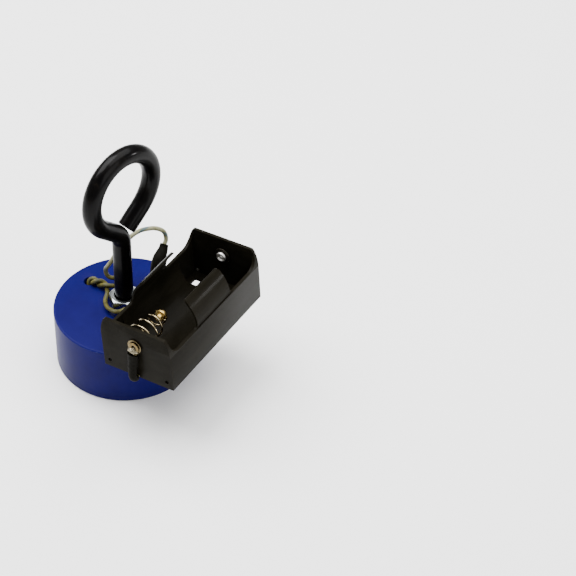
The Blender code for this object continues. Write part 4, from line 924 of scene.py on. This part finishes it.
def spring_wire(nickel):
    """Spring: loop round the eyelet, flat spiral, then turns that climb to the tip, the radius
    falling and the height rising by a power of the share turned."""
    flat = SPRING_LOOP_TURNS + SPRING_SPIRAL_TURNS
    turn = np.linspace(0, flat + SPRING_CONE_TURNS, SPRING_POINTS)
    spiral = eased(np.clip((turn - SPRING_LOOP_TURNS) / SPRING_SPIRAL_TURNS, 0, 1))
    cone = np.maximum((turn - flat) / SPRING_CONE_TURNS, 0)
    loop = EYELET_BARREL_RADIUS + GAP + SPRING_WIRE / 2
    radius = (loop + (SPRING_BASE_RADIUS - loop) * spiral
              + (SPRING_TIP_RADIUS - SPRING_BASE_RADIUS) * cone ** SPRING_FLARE)
    angle = 2 * math.pi * turn
    start = END_WALL + GAP + SPRING_WIRE / 2
    path = np.stack([CELL_X + radius * np.cos(angle), start + SPRING_LENGTH * cone ** SPRING_CLIMB,
                     CELL_Z + SPRING_TIP_RISE * cone + radius * np.sin(angle)], axis=1)
    grid = capped_tube(tilted(path), SPRING_WIRE / 2, SPRING_SIDES, SPRING_END_CHAMFER,
                       (0.0, 1.0, 0.0))
    settled(grid_piece("spring_wire", grid), nickel, "contact_spring")


def brass_button(brass):
    """Domed button on a stem, leaning with the spring's tip."""
    dome = arc((0, BUTTON_RIM), BUTTON_DOME, math.pi / 2, 0, 16)
    stem = [(BUTTON_RADIUS, BUTTON_RIM), (BUTTON_RADIUS, 0), (BUTTON_STEM_RADIUS, 0),
            (BUTTON_STEM_RADIUS, -BUTTON_STEM), (0, -BUTTON_STEM)]
    grid = laid_along(turned_points(np.vstack([dome, stem])), 0, 1, 0, 0)
    lean = math.atan(SPRING_TIP_RISE / SPRING_LENGTH)
    c, s = math.cos(lean), math.sin(lean)
    across, along, up = grid[..., 0], grid[..., 1], grid[..., 2]
    grid = np.stack([across, along * c - up * s, along * s + up * c], axis=-1)
    tip = END_WALL + GAP + SPRING_WIRE + SPRING_LENGTH + GAP
    piece = grid_piece("brass_button", tilted(grid + (CELL_X, tip, CELL_Z + SPRING_TIP_RISE)))
    soften(piece, BUTTON_EDGE)
    settled(piece, brass, "contact_button")


def wall_fittings(brass, nickel, dark):
    """Eyelet in the front wall, hollow-headed rivet and washer in the back wall, all turned."""
    inside = END_WALL + 2 * GAP + SPRING_WIRE
    outside = -(2 * GAP + LUG_THICKNESS)
    profile = [(EYELET_BORE_RADIUS, inside + EYELET_FLANGE),
               (EYELET_FLANGE_RADIUS, inside + EYELET_FLANGE), (EYELET_FLANGE_RADIUS, inside),
               (EYELET_BARREL_RADIUS, inside), (EYELET_BARREL_RADIUS, outside),
               (EYELET_FLANGE_RADIUS, outside), (EYELET_FLANGE_RADIUS, outside - EYELET_FLANGE),
               (EYELET_BORE_RADIUS, outside - EYELET_FLANGE)]
    grid = tilted(laid_along(turned_points(rounded(profile, EYELET_EDGE)), 0, 1))
    eyelet = grid_piece("hollow_eyelet", grid, wrap=True, sharp=CUT_SHARP_ANGLE)
    settled(eyelet, brass, "spring_eyelet")

    back = HOLDER_LENGTH - END_WALL
    head = GAP + WASHER_THICKNESS + GAP
    end = -(END_WALL + 2 * GAP + LUG_THICKNESS)
    clench = crown(RIVET_CLENCH_RADIUS, RIVET_CLENCH_RIM, RIVET_CLENCH)[::-1]
    shank = [(RIVET_HEAD_RADIUS, head), (RIVET_SHANK_RADIUS, head), (RIVET_SHANK_RADIUS, end),
             (RIVET_CLENCH_RADIUS, end)]
    profile = np.vstack([np.array(RIVET_HOLLOW_HEAD) + (0, head), shank,
                         clench * (1, -1) + (0, end)])
    rivet = grid_piece("domed_rivet", tilted(laid_along(turned_points(profile), back, -1)))
    soften(rivet, RIVET_EDGE)
    settled(rivet, nickel, "positive_rivet")

    inner, face = RIVET_SHANK_RADIUS + GAP, GAP + WASHER_THICKNESS
    profile = rounded([(inner, face), (WASHER_RADIUS, face), (WASHER_RADIUS, GAP), (inner, GAP)],
                      WASHER_EDGE)
    grid = tilted(laid_along(turned_points(profile, WASHER_SIDES), back, -1))
    washer = grid_piece("rivet_washer", grid, wrap=True, sharp=CUT_SHARP_ANGLE)
    settled(washer, dark, "contact_washer")


def lug_sleeving(name, node, sleeving, back=False):
    """Flattened sleeve: rings of an ellipse that go from wide and flat at the mouth to round on
    the lead, along a line that runs down the wall and bends in below it."""
    start = np.array([LUG_TAIL_X, -SLEEVE_MOUTH_OUT, SLEEVE_MOUTH_TOP])
    bend = arc((-GAP, UNDER_WALL_Z + SLEEVE_BEND), SLEEVE_BEND, math.pi, 1.5 * math.pi, 6)
    share = np.array([0, 1 / 3, 2 / 3])[:, None]
    way = np.array([LUG_X, *bend[0]]) - start
    upper = start + way * np.hstack([eased(share), eased(share), share])
    route = np.vstack([upper, np.column_stack([np.full(len(bend), LUG_X), bend])])
    centres = smooth_route(route, SLEEVE_STEP)
    tangents = unit(np.gradient(centres, axis=0))
    tangents[0], tangents[-1] = (0, 0, -1), (0, 1, 0)
    outward = unit(np.cross(tangents, (1.0, 0.0, 0.0)))
    run = run_along(centres) / run_along(centres)[-1]
    share = run ** SLEEVE_TAPER
    end = LEAD_RADIUS + GAP + SLEEVE_WALL
    angle = round_angles(SLEEVE_SIDES)
    waves = np.sin(run * SLEEVE_FOLD_WAVES)[:, None] * np.cos(3 * angle) - 1
    folds = SLEEVE_FOLD * waves * np.sin(run * math.pi)[:, None]
    layers = []
    for inset in (SLEEVE_DRAW, SLEEVE_WALL):
        wide, deep = ((mouth / 2 * (1 - share) + end * share - inset)[:, None] + folds
                      for mouth in (SLEEVE_MOUTH_WIDTH, SLEEVE_MOUTH_DEPTH))
        ring = ((wide * np.cos(angle))[..., None] * (1.0, 0.0, 0.0)
                + (deep * np.sin(angle))[..., None] * outward[:, None])
        layers.append(centres[:, None] + ring)
    grid = tilted(mirrored(np.concatenate([layers[0], layers[1][::-1]]), back))
    settled(grid_piece(name, grid, wrap=True, sharp=60), sleeving, node)


def solder_lumps(name, node, metal, back=False):
    """Solder: a ball pulled to an ellipsoid, with a few sine waves on it that leave soft lumps."""
    polar = np.linspace(0, math.pi, 40)[:, None]
    angle = round_angles(SMALL_SIDES)[None]
    lumps = 1 + sum(height * np.sin(down * polar + across * angle + start) * np.sin(polar) ** fade
                    for height, down, across, start, fade in SOLDER_WAVES)
    ball = np.stack([np.sin(polar) * np.cos(angle) * lumps, np.sin(polar) * np.sin(angle) * lumps,
                     np.cos(polar) * lumps + 0 * angle], axis=-1)
    middle = np.array([LUG_TAIL_X, -SOLDER_OUT, SLEEVE_MOUTH_TOP + SOLDER_RISE])
    grid = tilted(mirrored(ball * SOLDER_SIZE + middle, back))
    settled(grid_piece(name, grid), metal, node)


def stage_set():
    """Pale floor, soft lamps and a dim pale surround."""
    mesh = bpy.data.meshes.new("floor")
    reach = FLOOR_REACH
    mesh.from_pydata([(-reach, -reach, 0), (reach, -reach, 0), (reach, reach, 0),
                      (-reach, reach, 0)], [], [(0, 1, 2, 3)])
    floor = placed("floor", mesh)
    f = Finish("floor_paper", Roughness=0.85)
    f.set(Base_Color=f.mix(f.noise(9, 3, 0.5), (0.94, 0.94, 0.94), (0.97, 0.97, 0.97)))
    mesh.materials.append(f.material)
    world = bpy.data.worlds.new("surround")
    bpy.context.scene.world = world
    world.use_nodes = True
    background = world.node_tree.nodes["Background"]
    background.inputs["Color"].default_value = (1, 1, 1, 1)
    background.inputs["Strength"].default_value = SURROUND_LIGHT
    for name, place, size, power in LAMPS:
        light = bpy.data.lights.new(name, "AREA")
        light.size = size
        light.energy = power
        lamp = placed(name, light)
        lamp.location = place
        aim = Vector(LAMP_AIM) - Vector(place)
        lamp.rotation_euler = aim.to_track_quat("-Z", "Y").to_euler()


def carried_over(material, node):
    """Give a CAD solid that stays as it is a finished material."""
    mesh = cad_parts[node].data
    mesh.materials.clear()
    mesh.materials.append(material)


def dress():
    """Make every piece of the electromagnet."""
    sleeving = black_sleeving()
    leads(cream_insulation(), sleeving)
    magnet_body(blue_enamel())
    eye_rod(black_rod_enamel())
    hex_nut(bright_metal("zinc_plate", (0.34, 0.36, 0.36), (0.16, 0.17, 0.18), 0.12,
                         (5000, 5000, 5000), scratches=0.05, dents=0.0))
    settled(welded_copy("battery_holder", "holder_moulding", HOLDER_EDGE), black_moulding(),
            "battery_holder")
    spring_wire(bright_metal("nickel_plate", (0.30, 0.25, 0.15), (0.10, 0.07, 0.03), 0.05))
    brass_button(bright_metal("yellow_brass", (0.44, 0.31, 0.10), (0.17, 0.10, 0.025), 0.14,
                              stain=(0.06, 0.025, 0.006)))
    wall_fittings(bright_metal("dull_brass", (0.12, 0.085, 0.032), (0.035, 0.02, 0.007), 0.14,
                               stain=(0.012, 0.006, 0.002)),
                  bright_metal("rivet_plate", (0.85, 0.84, 0.80), (0.55, 0.53, 0.48), 0.24),
                  bright_metal("dark_washer", (0.05, 0.045, 0.035), (0.02, 0.018, 0.012), 0.30))
    tin = bright_metal("tinned_brass", (0.11, 0.085, 0.04), (0.03, 0.02, 0.008), 0.14,
                       stain=(0.012, 0.007, 0.003))
    solder = solder_metal()
    for side, back in (("front", False), ("back", True)):
        terminal = welded_copy(side + "_lug", side + "_terminal", LUG_EDGE)
        settled(terminal, tin, side + "_lug")
        lug_sleeving(side + "_sleeving", side + "_lug_sleeve", sleeving, back)
        solder_lumps(side + "_solder_lumps", side + "_solder", solder, back)
    nylon = plain_plastic("spool_nylon", (0.72, 0.68, 0.55), (0.58, 0.53, 0.40), 0.42)
    resin = plain_plastic("groove_resin", (0.030, 0.022, 0.018), (0.055, 0.040, 0.030), 0.40)
    carried_over(copper_winding(), "coil_winding")
    carried_over(nylon, "coil_bobbin")
    carried_over(resin, "pole_seal")


set_camera()
dress()
stage_set()
bpy.context.view_layer.update()
